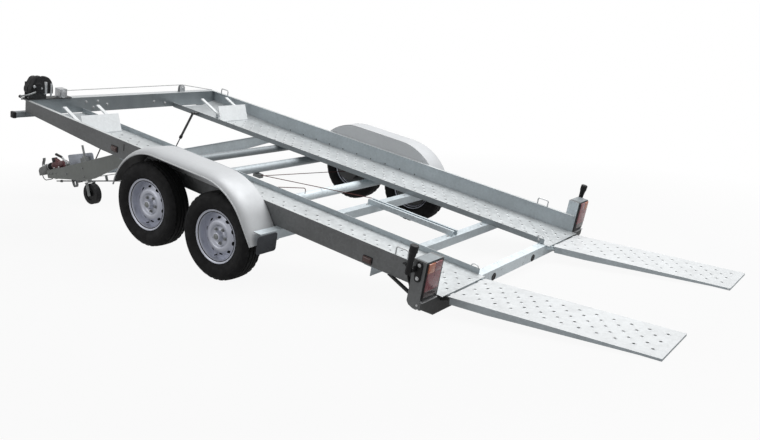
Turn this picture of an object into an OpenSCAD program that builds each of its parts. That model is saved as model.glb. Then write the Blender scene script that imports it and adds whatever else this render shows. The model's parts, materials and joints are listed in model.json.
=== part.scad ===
// Twin-axle tilting car transport trailer, shown tilted with its ramps out.
// World frame: +X forward to the coupling, +Y left, +Z up, ground at Z = 0.
// Bed frame: X forward from the rear end of the tracks, Z normal to the track floor.
// Drawbar frame: X along the rails from the tilt pivot to the coupling.

/* [Bed] */
// Angle between the bed and the ground, degrees
tilt = 11.66; // [10.5:0.1:12.5]
// Length of the bed
bed_len = 4088; // [4050:1:4180]
// Width of the bed over its side walls
bed_w = 2014; // [1990:1:2030]
// Width of one wheel track
track_w = 519; // [490:1:540]
// Height of the outer wall above the track floor
wall_h = 132; // [115:1:145]
// Height of the inner lip above the track floor
lip_h = 38; // [30:1:45]
// Thickness of the folded sheet
sheet = 4; // [3:0.5:5]
// Depth of the front beam's top flange
beam_d = 66; // [50:1:75]
// Height of the cross members and rear beam under the tracks
member_h = 62; // [54:1:70]

/* [Running gear] */
// Rear wheel centre, from the rear end of the bed
rear_x = 1611; // [1580:1:1640]
// Distance between the two axles
axle_gap = 678; // [650:1:700]
// Wheel centre below the track floor
hub_drop = 152; // [145:1:165]
// Outer radius of a tyre
tyre_r = 298; // [285:1:305]
// Width of a tyre
tyre_w = 166; // [150:1:170]
// Gap between the bed's wall and a tyre
wheel_gap = 69; // [64:1:76]
// Horizontal reach of a trailing arm
arm_reach = 150; // [140:1:165]
// Outer radius of an axle tube
axle_r = 36; // [30:1:38]

/* [Fenders] */
// Radius of the fender's round ends
fender_r = 470; // [455:1:485]
// Thickness of the fender skin
fender_t = 4; // [3:0.5:6]
// Depth of the skirt on the fender's outer side
skirt = 42; // [30:1:50]

/* [Ramps] */
// Length of a loading ramp from its hinge rod
ramp_len = 1270; // [1200:1:1320]
// Width of a loading ramp
ramp_w = 456; // [430:1:460]
// Depth of the ramp's side flanges at the hinge
ramp_h = 45; // [38:1:50]

/* [Drawbar] */
// Tilt pivot, from the rear end of the bed
pivot_x = 3000; // [2995:1:3020]
// Tilt pivot below the track floor
pivot_drop = 52; // [50:1:56]
// Angle between the drawbar and the bed, degrees
drop = 23.2; // [22.5:0.1:24]
// Distance from the tilt pivot to the towing ball centre
draw_len = 2432; // [2400:1:2480]
// Half spread of the rails at the pivot
spread = 790; // [780:1:800]
// Half spread of the rails at the nose
nose_half = 100; // [95:1:106]
// Depth of a rail at its deepest place
draw_h = 160; // [145:1:170]
// Width of a rail's flanges
draw_flange = 24; // [20:1:28]

/* [Jockey wheel] */
// Distance of the jockey column behind the rails' front end
jockey_back = 558; // [545:1:564]
// Radius of the jockey wheel
jockey_r = 100; // [90:1:105]
// Outer radius of the column
column_r = 24; // [22:1:26]

/* [Hidden] */
$fn = 48;

// Running clearance of pins and shafts
play = 0.05;
half_w = bed_w / 2;
lip_y = half_w - track_w;
front_x = rear_x + axle_gap;
beam_x = bed_len - beam_d;
under = -sheet;
wheel_y = half_w + wheel_gap + tyre_w / 2;
steel = "#b9c0c4";
dark_steel = "#8d9498";
black = "#1c1c1e";

// Track floor narrows ahead of the kink, and steps down under the wheel stops
step = 1;
kink = pivot_x + 60;
stop_x = beam_x - 582;
corner = 150;
function floor_edge(x) = half_w - corner * (x - kink) / (beam_x - kink);
arm_h = 44;
arm_z = lip_h - arm_h - 2;

// Bed placed on the ground: the rear wheels carry it
bed_lift = tyre_r - rear_x * sin(tilt) + hub_drop * cos(tilt);
function bed_height(x, z) = bed_lift + x * sin(tilt) + z * cos(tilt);
function bed_reach(x, z) = x * cos(tilt) - z * sin(tilt);

// Ramp hinge rod, and the ramp's slope with its tip on the ground
hinge_x = -14;
hinge_z = -14;
hinge_r = 8;
ramp_slope = asin(bed_height(hinge_x, hinge_z) / ramp_len);
ramp_y = lip_y + track_w / 2;

// Drawbar on the ground frame
nose_dip = drop - tilt;
ball_v = 36;
head_u = draw_len + 62;
nose_u = draw_len - 192;
jockey_u = nose_u - jockey_back;
function bar_height(u, v) = bed_height(pivot_x, -pivot_drop) - u * sin(nose_dip) + v * cos(nose_dip);
function bar_reach(u, v) = bed_reach(pivot_x, -pivot_drop) + u * cos(nose_dip) + v * sin(nose_dip);
wheel_v = (jockey_r - bed_height(pivot_x, -pivot_drop) + jockey_u * sin(nose_dip)) / cos(nose_dip);

// Origin on the ground under the middle of the whole length
rear_end = bed_reach(hinge_x, hinge_z) - ramp_len * cos(ramp_slope);
front_end = bar_reach(head_u, 96);
shift = -(rear_end + front_end) / 2;

// Rails: [along, top or bottom] stations of the deep web
rail_top = 42;
web_deep = rail_top - draw_h;
turn = atan((spread - nose_half) / nose_u);
rail_run = nose_u / cos(turn);
function rail_y(u) = spread - u * tan(turn);

// Gas struts between the drawbar and the bed
strut_y = lip_y - 56;
strut_top_x = beam_x - 330;
strut_top_z = 22;
strut_low_u = strut_top_x - pivot_x + 329;
strut_low_v = -10;
strut_r = 11;
strut_low_x = pivot_x + strut_low_u * cos(drop) + strut_low_v * sin(drop);
strut_low_z = -pivot_drop - strut_low_u * sin(drop) + strut_low_v * cos(drop);
strut_len = norm([strut_low_x - strut_top_x, strut_low_z - strut_top_z]);
strut_angle = atan2(strut_top_z - strut_low_z, strut_low_x - strut_top_x);
// Drawbar swing that closes the tilt, and the strut's length there
close = 22;
shut_x = pivot_x + strut_low_u * cos(drop - close) + strut_low_v * sin(drop - close);
shut_z = -pivot_drop - strut_low_u * sin(drop - close) + strut_low_v * cos(drop - close);
stroke = strut_len - norm([shut_x - strut_top_x, shut_z - strut_top_z]);
barrel_len = stroke + 110;

// Frames
module on_bed() {
    translate([shift, 0, bed_lift]) rotate([0, -tilt, 0]) children();
}
module on_bar() {
    on_bed() translate([pivot_x, 0, -pivot_drop]) rotate([0, drop, 0]) children();
}
module both() {
    children();
    mirror([0, 1, 0]) children();
}
module side(left) {
    if (left) children();
    else mirror([0, 1, 0]) children();
}
// Straight extrusion along X of a [y, z] outline
module along_x(from, to, points) {
    translate([from, 0, 0]) rotate([90, 0, 90]) linear_extrude(to - from) polygon(points);
}
// Straight extrusion along Y of an [x, z] outline
module along_y(from, to, points) {
    translate([0, to, 0]) rotate([90, 0, 0]) linear_extrude(to - from) polygon(points);
}
// Round bar along Y
module bar_y(from, to, r, x = 0, z = 0) {
    translate([x, to, z]) rotate([90, 0, 0]) cylinder(r = r, h = to - from);
}
// Round bar between two points
module rod(a, b, r) {
    d = b - a;
    translate(a)
        rotate([0, acos(d.z / norm(d)), atan2(d.y, d.x)])
            cylinder(r = r, h = norm(d));
}

module cone(a, b, r1, r2) {
    d = b - a;
    translate(a)
        rotate([0, acos(d.z / norm(d)), atan2(d.y, d.x)])
            cylinder(r1 = r1, r2 = r2, h = norm(d));
}

// Bed

module track(left) {
    flange = 30;
    run = beam_x - kink;
    fold = run * sin(atan(corner / run));
    color(steel) on_bed() side(left) {
        difference() {
            along_x(0, kink, [
                [half_w, wall_h], [half_w - flange, wall_h], [half_w - flange, wall_h - sheet],
                [half_w - sheet, wall_h - sheet], [half_w - sheet, 0], [lip_y + sheet, 0],
                [lip_y + sheet, lip_h], [lip_y, lip_h], [lip_y, under], [half_w, under]
            ]);
            translate([-1, lip_y - 1, 0]) cube([lamp_x + 7, track_w + 2, wall_h + 1]);
        }
        along_y(half_w - sheet, half_w, [
            [kink, under], [kink, wall_h], [beam_x, wall_h], [beam_x, lip_h - 2]
        ]);
        translate([kink, half_w - flange, wall_h - sheet]) cube([beam_x - kink, flange, sheet]);
        translate([kink, lip_y, under]) cube([beam_x - kink, sheet, lip_h + sheet]);
        translate([0, 0, under]) linear_extrude(sheet - step) polygon([
            [kink, lip_y], [beam_x, lip_y], [beam_x, floor_edge(beam_x)], [kink, half_w]
        ]);
        translate([0, 0, under + 1]) linear_extrude(sheet - 1) polygon([
            [kink, lip_y], [stop_x - 4, lip_y], [stop_x - 4, floor_edge(stop_x) - 1], [kink, half_w - 1]
        ]);
        intersection() {
            translate([kink, half_w, under + 2]) rotate([0, 0, -atan(corner / run)])
                rotate([atan((lip_h - 2 - under) / fold), 0, 0]) translate([0, -30, 0]) cube([bed_len, 400, 2]);
            translate([0, 0, under - 20]) linear_extrude(wall_h) polygon([
                [kink + 50, half_w - 2], [beam_x - 0.5, half_w - 2],
                [beam_x - 0.5, floor_edge(beam_x) - 5], [kink + 50, floor_edge(kink + 50) - 5]
            ]);
        }
    }
}

module front_beam() {
    low = 4;
    color(steel) on_bed() along_y(-half_w, half_w, [
        [beam_x, wall_h], [bed_len, wall_h], [bed_len, wall_h - 12], [bed_len - sheet, wall_h - 12],
        [bed_len - sheet, wall_h - sheet], [beam_x + sheet, wall_h - sheet], [beam_x + sheet, low], [beam_x, low]
    ]);
}

module rear_beam() {
    depth = member_h + 18;
    start = 28;
    run = 60;
    end = half_w + 20;
    foot = -122;
    lamp_out = half_w + lamp_w - sheet;
    lug = 6;
    inner = ramp_y - ramp_w / 2 + 12;
    outer = ramp_y + ramp_w / 2 - 12;
    color(steel) on_bed() {
        difference() {
            translate([start, -end, under - depth]) cube([run, 2 * end, depth]);
            translate([start + sheet, -end + sheet, under - depth + sheet])
                cube([run, 2 * (end - sheet), depth - 2 * sheet]);
        }
        both() {
            for (y = [inner - lug, outer])
                along_y(y, y + lug, [[start, under], [hinge_x + 2, under], [hinge_x - 10, hinge_z + 2],
                    [hinge_x - 10, hinge_z - 10], [start, under - 40]]);
            bar_y(inner - lug, outer + lug, hinge_r, hinge_x, hinge_z);
            along_x(start, start + sheet, [
                [ramp_y + 30, under - depth], [ramp_y + 30, foot], [end, foot], [lamp_out, -44],
                [lamp_out, lamp_z], [end - 1, lamp_z], [end - 1, under - depth]
            ]);
            translate([start, ramp_y + 30, foot]) cube([run, end - ramp_y - 30, sheet]);
            along_y(half_w - 14, half_w + 10, [
                [390, under], [360, under], [start + run - 10, foot + 16], [start + run - 10, foot]
            ]);
        }
    }
}

// Carrier under a track: a channel that holds both axles and the tilt pivot
carrier_z = under - 40;
module side_rail(left) {
    out = half_w - 62;
    flange = 46;
    color(steel) on_bed() side(left) difference() {
        along_x(angles[1][0] + 64, pivot_x - 56, [
            [out, under], [out, carrier_z], [out - flange, carrier_z], [out - flange, carrier_z + sheet],
            [out - sheet, carrier_z + sheet], [out - sheet, under - sheet],
            [out - flange, under - sheet], [out - flange, under]
        ]);
        bar_y(out - flange - 1, out + 1, tube_r + play, tube_x, tube_z);
    }
}

// Cross members: [x of the web, half length], angles under the tracks; the second carries the fenders' rear ends
tube_x = front_x + 408;
tube_r = 31;
tube_z = under - tube_r - 0.5;
angles = [[514, half_w - 2], [1232, wheel_y + 60]];
module cross_members() {
    reach = half_w - 60;
    wide = 60;
    color(steel) on_bed() {
        for (a = angles) along_y(-a[1], a[1], [
            [a[0], under], [a[0] + wide, under], [a[0] + wide, under - sheet],
            [a[0] + sheet, under - sheet], [a[0] + sheet, under - member_h], [a[0], under - member_h]
        ]);
        difference() {
            bar_y(-reach, reach, tube_r, tube_x, tube_z);
            bar_y(-reach - 1, reach + 1, tube_r - sheet, tube_x, tube_z);
        }
    }
}

module centre_rail() {
    w = 60;
    h = 34;
    color(steel) on_bed() along_x(angles[0][0] + 10, angles[1][0] + 50, [
        [w / 2, under], [w / 2, h], [w / 2 - 18, h], [w / 2 - 18, h - sheet],
        [w / 2 - sheet, h - sheet], [w / 2 - sheet, 0], [-w / 2 + sheet, 0],
        [-w / 2 + sheet, h - sheet], [-w / 2 + 18, h - sheet], [-w / 2 + 18, h],
        [-w / 2, h], [-w / 2, under]
    ]);
}

// Tilt pivot: a pair of cheeks and a pin on each side
pin_r = 14;
bush_half = 50;
module pivot_brackets() {
    cheek = 8;
    color(dark_steel) on_bed() both() {
        for (y = [spread - bush_half - 4 - cheek, spread + bush_half + 4])
            difference() {
                along_y(y, y + cheek, [
                    [pivot_x - 48, under], [pivot_x + 48, under],
                    [pivot_x + 24, -pivot_drop - 34], [pivot_x - 24, -pivot_drop - 34]
                ]);
                bar_y(y - 1, y + cheek + 1, pin_r, pivot_x, -pivot_drop);
            }
        bar_y(spread - bush_half - 4 - cheek - 6, spread + bush_half + 10 + cheek, pin_r, pivot_x, -pivot_drop);
    }
}

// Axles: rubber torsion tube, trailing arms, stubs and brake back plates
stub_r = 26;
module axle(x) {
    tube_end = half_w - 12;
    low = carrier_z - axle_r - 1;
    pad = 90;
    color(dark_steel) on_bed() {
        bar_y(-tube_end, tube_end, axle_r, x + arm_reach, low);
        both() {
            translate([x + arm_reach - pad / 2, half_w - 104, low])
                cube([pad, 38, carrier_z - low]);
            hull() {
                bar_y(tube_end, tube_end + 26, axle_r + 8, x + arm_reach, low, $fn = 32);
                bar_y(tube_end, tube_end + 26, stub_r + 10, x, -hub_drop, $fn = 32);
            }
            bar_y(tube_end + 26, wheel_y + 52, stub_r, x, -hub_drop);
            bar_y(tube_end + 40, wheel_y - 42, 112, x, -hub_drop);
        }
    }
}

// Fender: arched skin over both wheels with a skirt on its outer side
fender_z = -215;
fender_in = half_w + 4;
fender_out = wheel_y + 84;
flare = 36;
tail = 180;
function arc(cx, r, from, to, n = 10) =
    [for (i = [0 : n]) let (a = from + (to - from) * i / n) [cx + r * cos(a), fender_z + r * sin(a)]];
squat = 40;
function front_arc(r) = [for (p = arc(front_x - 99 + squat, r - squat, 11, 90)) [p[0], p[1] + squat]];
function fender_line(r) = concat(
    front_arc(r),
    arc(rear_x + 129, r, 90, 180 - flare),
    [[rear_x + 129 + r * cos(180 - flare) - tail * sin(flare), fender_z + r * sin(180 - flare) - tail * cos(flare)]]
);
function back(list) = [for (i = [len(list) - 1 : -1 : 0]) list[i]];
module fender(left) {
    color("#d3d6d8") on_bed() side(left) {
        along_y(fender_in, fender_out, concat(fender_line(fender_r), back(fender_line(fender_r - fender_t))));
        along_y(fender_out - fender_t, fender_out,
            concat(fender_line(fender_r - fender_t), back(fender_line(fender_r - skirt))));
        intersection() {
            along_y(half_w, fender_in + 1, fender_line(fender_r - fender_t / 2));
            translate([0, half_w - 1, wall_h - 50]) cube([bed_len, 20, 400]);
        }
        difference() {
            translate([angles[1][0] - 6, half_w + 58, -138]) cube([6, fender_out - half_w - 66, 124]);
            translate([angles[1][0] - 7, half_w + 58, -138]) difference() {
                translate([0, -1, -1]) cube([8, 15, 15]);
                translate([-1, 14, 14]) rotate([0, 90, 0]) cylinder(r = 14, h = 10);
            }
        }
    }
}

// Wheel stops: sloped plate on two bars
module wheel_stops() {
    plate_w = 345;
    inner = lip_y + 56;
    color("#d5dadd") on_bed() both() {
        along_y(inner, inner + plate_w, [
            [stop_x, -step], [stop_x + sheet, -step], [stop_x + 56, wall_h + 4],
            [stop_x + 56 - sheet, wall_h + 4 + sheet / 3], [stop_x - sheet / 2, 6]
        ]);
        for (y = [inner + 6, inner + plate_w - 36])
            along_y(y, y + 30, [
                [stop_x + 18, 46], [stop_x + 286, 148], [stop_x + 289, 140], [stop_x + 78, 59],
                [stop_x + 78, -step], [stop_x + 70, -step], [stop_x + 70, 56], [stop_x + 18, 37]
            ]);
    }
}

// Lashing loops on the walls: [x, side]
loops = [[328, 1], [328, -1], [beam_x - 146, -1]];
module lashing_loops() {
    r = 5;
    span = 44;
    bow = 14;
    leg = 34;
    color(steel) on_bed() for (l = loops) translate([l[0], l[1] * (half_w - 15), wall_h]) {
        for (k = [-1, 1]) {
            translate([k * span, 0, 0]) cylinder(r = r, h = leg);
            translate([k * (span - bow), 0, leg]) rotate([90, 0, 0]) rotate([0, 0, k > 0 ? 0 : 90])
                rotate_extrude(angle = 90) translate([bow, 0]) circle(r);
        }
        translate([bow - span, 0, leg + bow]) rotate([0, 90, 0]) cylinder(r = r, h = 2 * (span - bow));
    }
}

// Tail lamps in boxes outside the walls
lamp_w = 183;
lamp_x = 40;
lamp_d = 85;
lamp_z = -4;
lamp_top = 238;
module lamp_box(left) {
    color(steel) on_bed() side(left) {
        difference() {
            translate([lamp_x, half_w, lamp_z]) cube([lamp_d, lamp_w, lamp_top - lamp_z]);
            translate([lamp_x + sheet, half_w + sheet, lamp_z - 1])
                cube([lamp_d, lamp_w - 2 * sheet, lamp_top - lamp_z + 1 - sheet]);
        }
        along_y(half_w + lamp_w - sheet, half_w + lamp_w, [
            [lamp_x, lamp_z], [lamp_x, -44], [lamp_x + 16, -54], [lamp_x + 40, -52],
            [lamp_x + 70, -40], [lamp_x + lamp_d, -20], [lamp_x + lamp_d, lamp_z]
        ]);
    }
}
module lamp_lens(left) {
    color("#b3202a") on_bed() side(left)
        translate([lamp_x - 14, half_w + 18, lamp_z + 22]) cube([14, lamp_w - 36, lamp_top - lamp_z - 44]);
}

// Black hand levers outside the lamp boxes, on oval plates
module lock_levers() {
    out = half_w + lamp_w;
    y = out + 44;
    x = lamp_x + 56;
    color(black) on_bed() both() {
        for (z = [82, 168]) translate([x - 22, out, z]) rotate([-90, 0, 0]) cylinder(r = 22, h = 8);
        translate([x - 44, out, 82]) cube([44, 8, 86]);
        translate([x + 12, out, 178]) rotate([-90, 0, 0]) cylinder(r = 13, h = 38);
        cone([x + 30, y, 156], [x + 17, y, 332], 18, 25);
    }
}

// Front marker arms under the wall ends
module marker_arms() {
    reach = 95;
    color(dark_steel) on_bed() both() {
        translate([beam_x + sheet, half_w - 205, arm_z]) cube([40, 205 + reach, arm_h]);
    }
}

// Reflectors on the walls: [x, z]
markers = [[2922, 48], [552, 30]];
module side_markers() {
    color("#3a2a22") on_bed() both() for (m = markers)
        translate([m[0] - 33, half_w, m[1] - 20]) cube([66, 8, 40]);
}

// Hand winch on the left front corner
winch_y = half_w - 102;
winch_z = wall_h + 114;
winch_x = bed_len - 34;
module winch_base() {
    color(dark_steel) on_bed() {
        translate([winch_x - 44, winch_y - 300, wall_h]) cube([76, 392, 8]);
        translate([winch_x - 40, winch_y - 256, wall_h + 8]) cube([68, 64, 70]);
        for (x = [winch_x - 30, winch_x + 24])
            translate([x, winch_y - 75, wall_h + 8]) cube([6, 150, 128]);
    }
}
module winch_drum() {
    color(black) on_bed() translate([winch_x, winch_y, winch_z]) rotate([0, 90, 0]) {
        translate([0, 0, -24]) cylinder(r = 34, h = 48);
        translate([0, 0, -58]) linear_extrude(28) {
            for (y = [-44, 44]) translate([0, y]) circle(74);
            square([148, 88], center = true);
        }
        translate([0, 0, -66]) cylinder(r = 24, h = 8);
    }
}
pulley_y = -600;
pulley_z = wall_h + 40;
module winch_cable() {
    over = pulley_z + 26.3;
    color("#9a9d9f") on_bed() {
        rod([winch_x, winch_y - 256.3, wall_h + 56], [winch_x, pulley_y + 3, over], 3);
        rod([winch_x, pulley_y - 3, over], [winch_x, -half_w + 20, wall_h + 4], 3);
    }
}
module cable_pulley() {
    color(steel) on_bed() {
        for (x = [winch_x - 16, winch_x + 11])
            translate([x, pulley_y - 28, wall_h]) cube([5, 56, 66]);
        translate([winch_x - 11, pulley_y, pulley_z]) rotate([0, 90, 0]) cylinder(r = 23, h = 22);
    }
}

// Compensator under the front axle, with the brake cables that leave it
module brake_cables() {
    r = 3;
    x = front_x + arm_reach;
    low = carrier_z - 2 * axle_r - 1.3;
    plate = half_w - 12 + 40;
    rear_tube = rear_x + arm_reach - 16;
    bend = 18;
    run = 300;
    color(black) on_bed() {
        translate([x - 62, -22, low - 30]) cube([74, 44, 30]);
        rod([x - 44, -10, low - 17], [front_x - 49, 0.3 - plate, -hub_drop - 18], r);
        rod([x - 44, 8, low - 5], [angles[1][0] + 50.3, -21, 30], r);
        translate([rear_tube + run * 0.506, lip_y - 2, 0]) rotate([0, 0, 180 + 59.6]) {
            rotate([0, 90, 0]) cylinder(r = r, h = run);
            translate([run, 0, -bend]) rotate([90, 0, 0])
                rotate_extrude(angle = 90) translate([bend, 0]) circle(r);
            translate([run + bend, 0, carrier_z - 2]) cylinder(r = r, h = 2 - carrier_z - bend);
        }
    }
}

// Drawbar

// Channel rail from the pivot bush to the nose, flanges turned inward
function rail_side(d) = [
    [-28, 26 - d], [-4, rail_top - d], [rail_run, rail_top - d], [rail_run, -27 + d],
    [rail_run * 0.53, web_deep + d], [rail_run * 0.43, web_deep + d], [-20, -30 + d], [-28, -16 + d]
];
module drawbar_rail(left) {
    web = 6;
    color(dark_steel) on_bar() side(left) {
        difference() {
            translate([0, spread, 0]) rotate([0, 0, -turn]) difference() {
                along_y(-draw_flange, 0, rail_side(0));
                along_y(-draw_flange - 1, -web, [for (p = rail_side(web)) [p[0], p[1]]]);
            }
            bar_y(spread - 80, spread + 60, pin_r + 8, 0, 0);
        }
        difference() {
            bar_y(spread - bush_half, spread + bush_half, pin_r + 12);
            bar_y(spread - bush_half - 1, spread + bush_half + 1, pin_r + play);
        }
        bar_y(strut_y + 9.4, rail_y(strut_low_u) - 2, 8, strut_low_u, strut_low_v);
    }
}

// Nose: top and bottom plates tying the rails
plate_u = nose_u - 640;
plate_l = 390;
module drawbar_nose() {
    function plate(u0, u1, gap) = [
        [u0, rail_y(u0) - gap], [u1, rail_y(u1) - gap], [u1, -rail_y(u1) + gap], [u0, -rail_y(u0) + gap]];
    color(dark_steel) on_bar() {
        translate([0, 0, rail_top]) linear_extrude(6) polygon(plate(nose_u - 190, nose_u - 4, 4));
        translate([0, 0, rail_top]) linear_extrude(6) polygon(plate(plate_u - 20, plate_u + 40, 4));
        translate([0, 0, rail_top]) linear_extrude(6) polygon(plate(nose_u - 330, nose_u - 250, 4));
        translate([nose_u - 10, -nose_half + 8, -20.6]) cube([6, 2 * nose_half - 16, rail_top + 14.2]);
    }
}

// Upright plate along the middle that carries the jockey column
module drawbar_plate() {
    top = 142;
    color(steel) on_bar() {
        along_y(-6, 0, [
            [plate_u, rail_top + 6], [plate_u + plate_l, rail_top + 6], [plate_u + plate_l, top + 16],
            [plate_u + plate_l - 30, top + 20], [plate_u + 18, top], [plate_u, top - 12]
        ]);
        translate([plate_u, -40, rail_top + 6]) cube([40, 34, 6]);
        translate([plate_u + plate_l - 60, -40, rail_top + 6]) cube([60, 34, 6]);
    }
}

// Overrun device, bellows and coupling
tube_v = rail_top + 44.3;
module overrun_housing() {
    color("#6d4a4c") on_bar() {
        difference() {
            union() {
                translate([nose_u - 170, -34, rail_top + 6]) cube([150, 68, 34]);
                translate([nose_u - 190, 0, tube_v]) rotate([0, 90, 0]) cylinder(r = 38, h = 190);
                translate([nose_u - 64, -16, tube_v]) cube([52, 32, 74]);
            }
            translate([nose_u - 191, 0, tube_v]) rotate([0, 90, 0]) cylinder(r = 26, h = 200);
        }
    }
}
module bellows() {
    color(black) on_bar() difference() {
        translate([nose_u, 0, tube_v]) rotate([0, 90, 0]) {
            for (i = [0 : 4]) translate([0, 0, i * 16]) {
                cylinder(r1 = 30, r2 = 37, h = 8);
                translate([0, 0, 8]) cylinder(r1 = 37, r2 = 30, h = 8);
            }
        }
        translate([nose_u - 1, 0, tube_v]) rotate([0, 90, 0]) cylinder(r = 26, h = 100);
    }
}
ball_r = 25.2;
module coupling_head() {
    color(dark_steel) on_bar() difference() {
        union() {
            translate([nose_u - 120, 0, tube_v]) rotate([0, 90, 0]) cylinder(r = 25.9, h = 260);
            hull() {
                translate([nose_u + 96, 0, tube_v]) rotate([0, 90, 0]) cylinder(r = 32, h = 30, $fn = 32);
                translate([draw_len, 0, ball_v - 20]) cylinder(r = 40, h = 76, $fn = 32);
                translate([draw_len + 18, 0, ball_v - 20]) cylinder(r = 44, h = 50, $fn = 32);
            }
        }
        translate([draw_len, 0, ball_v - 60]) cylinder(r = ball_r, h = 60);
        translate([draw_len, 0, ball_v]) sphere(r = ball_r);
    }
}
function head_top(d) = tube_v + 32.9 - (tube_v - 24 - ball_v) * (d - 126) / 106;
module coupling_handle() {
    color(dark_steel) on_bar() along_y(-14, 14, [for (p = [
        [130, head_top(130)], [186, head_top(186)], [186, ball_v + 78], [158, ball_v + 92], [166, ball_v + 122],
        [146, ball_v + 150], [128, ball_v + 152], [144, ball_v + 122], [134, ball_v + 94], [130, ball_v + 94]
    ]) [nose_u + p[0], p[1]]]);
}

lever_u = nose_u - 300;
module handbrake() {
    color(dark_steel) on_bar() {
        translate([lever_u - 30, 44, rail_top + 6.3]) cube([60, 12, 49.7]);
        rod([lever_u, 62, rail_top + 36], [lever_u + 100, 62, rail_top + 96], 9);
        translate([lever_u, 44, rail_top + 36]) rotate([-90, 0, 0]) cylinder(r = 16, h = 24);
    }
    color(black) on_bar()
        rod([lever_u + 100, 62, rail_top + 96], [lever_u + 190, 62, rail_top + 150], 14);
}

// Brake rod under the drawbar on two hangers
module brake_rod() {
    a = [nose_u + 60, -26, -66];
    b = [nose_u - 1240, -26, -200];
    color(dark_steel) on_bar() {
        rod(a, b, 6);
        for (u = [nose_u - 740, nose_u - 220]) {
            v = a.z + (b.z - a.z) * (a.x - u) / (a.x - b.x);
            low = -27 + (web_deep + 27) * (nose_u - u) / (nose_u * 0.47);
            translate([u - 15, -rail_y(u + 15) + 8, low - 6.5]) cube([30, 2 * rail_y(u + 15) - 16, 6]);
            translate([u - 15, a.y - 4, v]) cube([30, 8, low - 4 - v]);
        }
    }
}

// Breakaway cable hanging from the coupling to the rails' front end
module breakaway_cable() {
    r = 4;
    y = 34;
    bend = 52;
    front = draw_len - 7;
    rear = nose_u + r - 3.7;
    mid = ball_v - 24;
    color(black) on_bar() translate([0, y, 0]) {
        translate([front, 0, mid]) cylinder(r = r, h = 3.7);
        translate([front - bend, 0, mid]) rotate([90, 0, 0]) rotate([0, 0, -90])
            rotate_extrude(angle = 90) translate([bend, 0]) circle(r);
        translate([rear + bend, 0, mid - bend]) rotate([0, 90, 0]) cylinder(r = r, h = front - rear - 2 * bend);
        translate([rear + bend, 0, mid]) rotate([90, 0, 0]) rotate([0, 0, 180])
            rotate_extrude(angle = 90) translate([bend, 0]) circle(r);
        translate([rear, 0, mid]) cylinder(r = r, h = 18);
    }
}

// Jockey wheel
jockey_y = column_r + 8;
column_low = wheel_v + jockey_r + 75;
column_top = wheel_v + jockey_r + 263;
leg_r = column_r - 4;
module jockey_column() {
    color(steel) on_bar() translate([jockey_u, jockey_y, 0]) {
        difference() {
            translate([0, 0, column_low]) cylinder(r = column_r, h = column_top - column_low);
            translate([0, 0, column_low - 1]) cylinder(r = leg_r + play, h = column_top - column_low - 7);
        }
        translate([0, 0, column_top]) cylinder(r = 10, h = 106);
        difference() {
            translate([-34, -jockey_y, 54]) cube([68, jockey_y + column_r + 6, 50]);
            translate([0, 0, 53]) cylinder(r = column_r, h = 52);
        }
    }
}
module jockey_leg() {
    fork = 36;
    color(dark_steel) on_bar() translate([jockey_u, jockey_y, 0]) {
        translate([0, 0, wheel_v + jockey_r + 12]) cylinder(r = leg_r, h = 175);
        translate([-26, -fork - 6, wheel_v + jockey_r + 6]) cube([52, 2 * fork + 12, 8]);
        for (y = [-fork - 6, fork])
            translate([-20, y, wheel_v - 20]) cube([40, 6, jockey_r + 30]);
        bar_y(-fork - 6, fork + 6, 9, 0, wheel_v);
    }
}
module jockey_wheel() {
    color(black) on_bar() translate([jockey_u, jockey_y, wheel_v]) difference() {
        bar_y(-28, 28, jockey_r);
        bar_y(-29, 29, 9 + play);
        for (y = [-29, 19]) difference() {
            bar_y(y, y + 10, 62);
            bar_y(y - 1, y + 11, 22);
        }
    }
}

// Pins under the inner lips that carry the gas struts
module strut_brackets() {
    color(dark_steel) on_bed() both() {
        bar_y(strut_y - 12, lip_y, 6, strut_top_x, strut_top_z);
        bar_y(strut_y + 14, lip_y, 13, strut_top_x, strut_top_z);
    }
}

// Gas struts
module strut_frame(left) {
    on_bed() side(left) translate([strut_top_x, strut_y, strut_top_z]) rotate([0, strut_angle, 0]) children();
}
module strut_barrel(left) {
    color(black) strut_frame(left) {
        difference() {
            union() {
                bar_y(-9, 9, 13);
                rotate([0, 90, 0]) translate([0, 0, 8]) cylinder(r = strut_r, h = barrel_len - 8);
            }
            bar_y(-10, 10, 6 + play);
            rotate([0, 90, 0]) translate([0, 0, 60]) cylinder(r = 5 + play, h = barrel_len);
        }
    }
}
module strut_rod(left) {
    color(dark_steel) strut_frame(left) {
        rotate([0, 90, 0]) translate([0, 0, stroke + 64]) cylinder(r = 5, h = strut_len - stroke - 74);
        translate([strut_len, 0, 0]) difference() {
            bar_y(-9, 9, 13);
            bar_y(-10, 10, 8.4);
        }
    }
}

// Ramps
module ramp(left) {
    top = -hinge_z;
    lug_r = hinge_r + 5;
    edge = ramp_w / 2;
    color("#c6cbd0") on_bed() side(left) translate([hinge_x, ramp_y, hinge_z]) rotate([0, tilt - ramp_slope, 0]) {
        translate([-ramp_len, -edge, top - sheet]) cube([ramp_len - 6, ramp_w, sheet]);
        for (y = [-edge, edge - sheet])
            along_y(y, y + sheet, [
                [-20, top - sheet], [-ramp_len, top - sheet], [-ramp_len, top - 14], [-ramp_len + 120, top - 14],
                [-260, top - ramp_h], [-20, top - ramp_h]
            ]);
        translate([-ramp_len, -edge, 0]) cube([sheet, ramp_w, top - sheet]);
        for (y = [-edge + 40, edge - 80]) difference() {
            union() {
                bar_y(y, y + 40, lug_r);
                translate([-40, y, 0]) cube([40, 40, top - sheet]);
            }
            bar_y(y - 1, y + 41, hinge_r + play);
        }
    }
}

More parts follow.
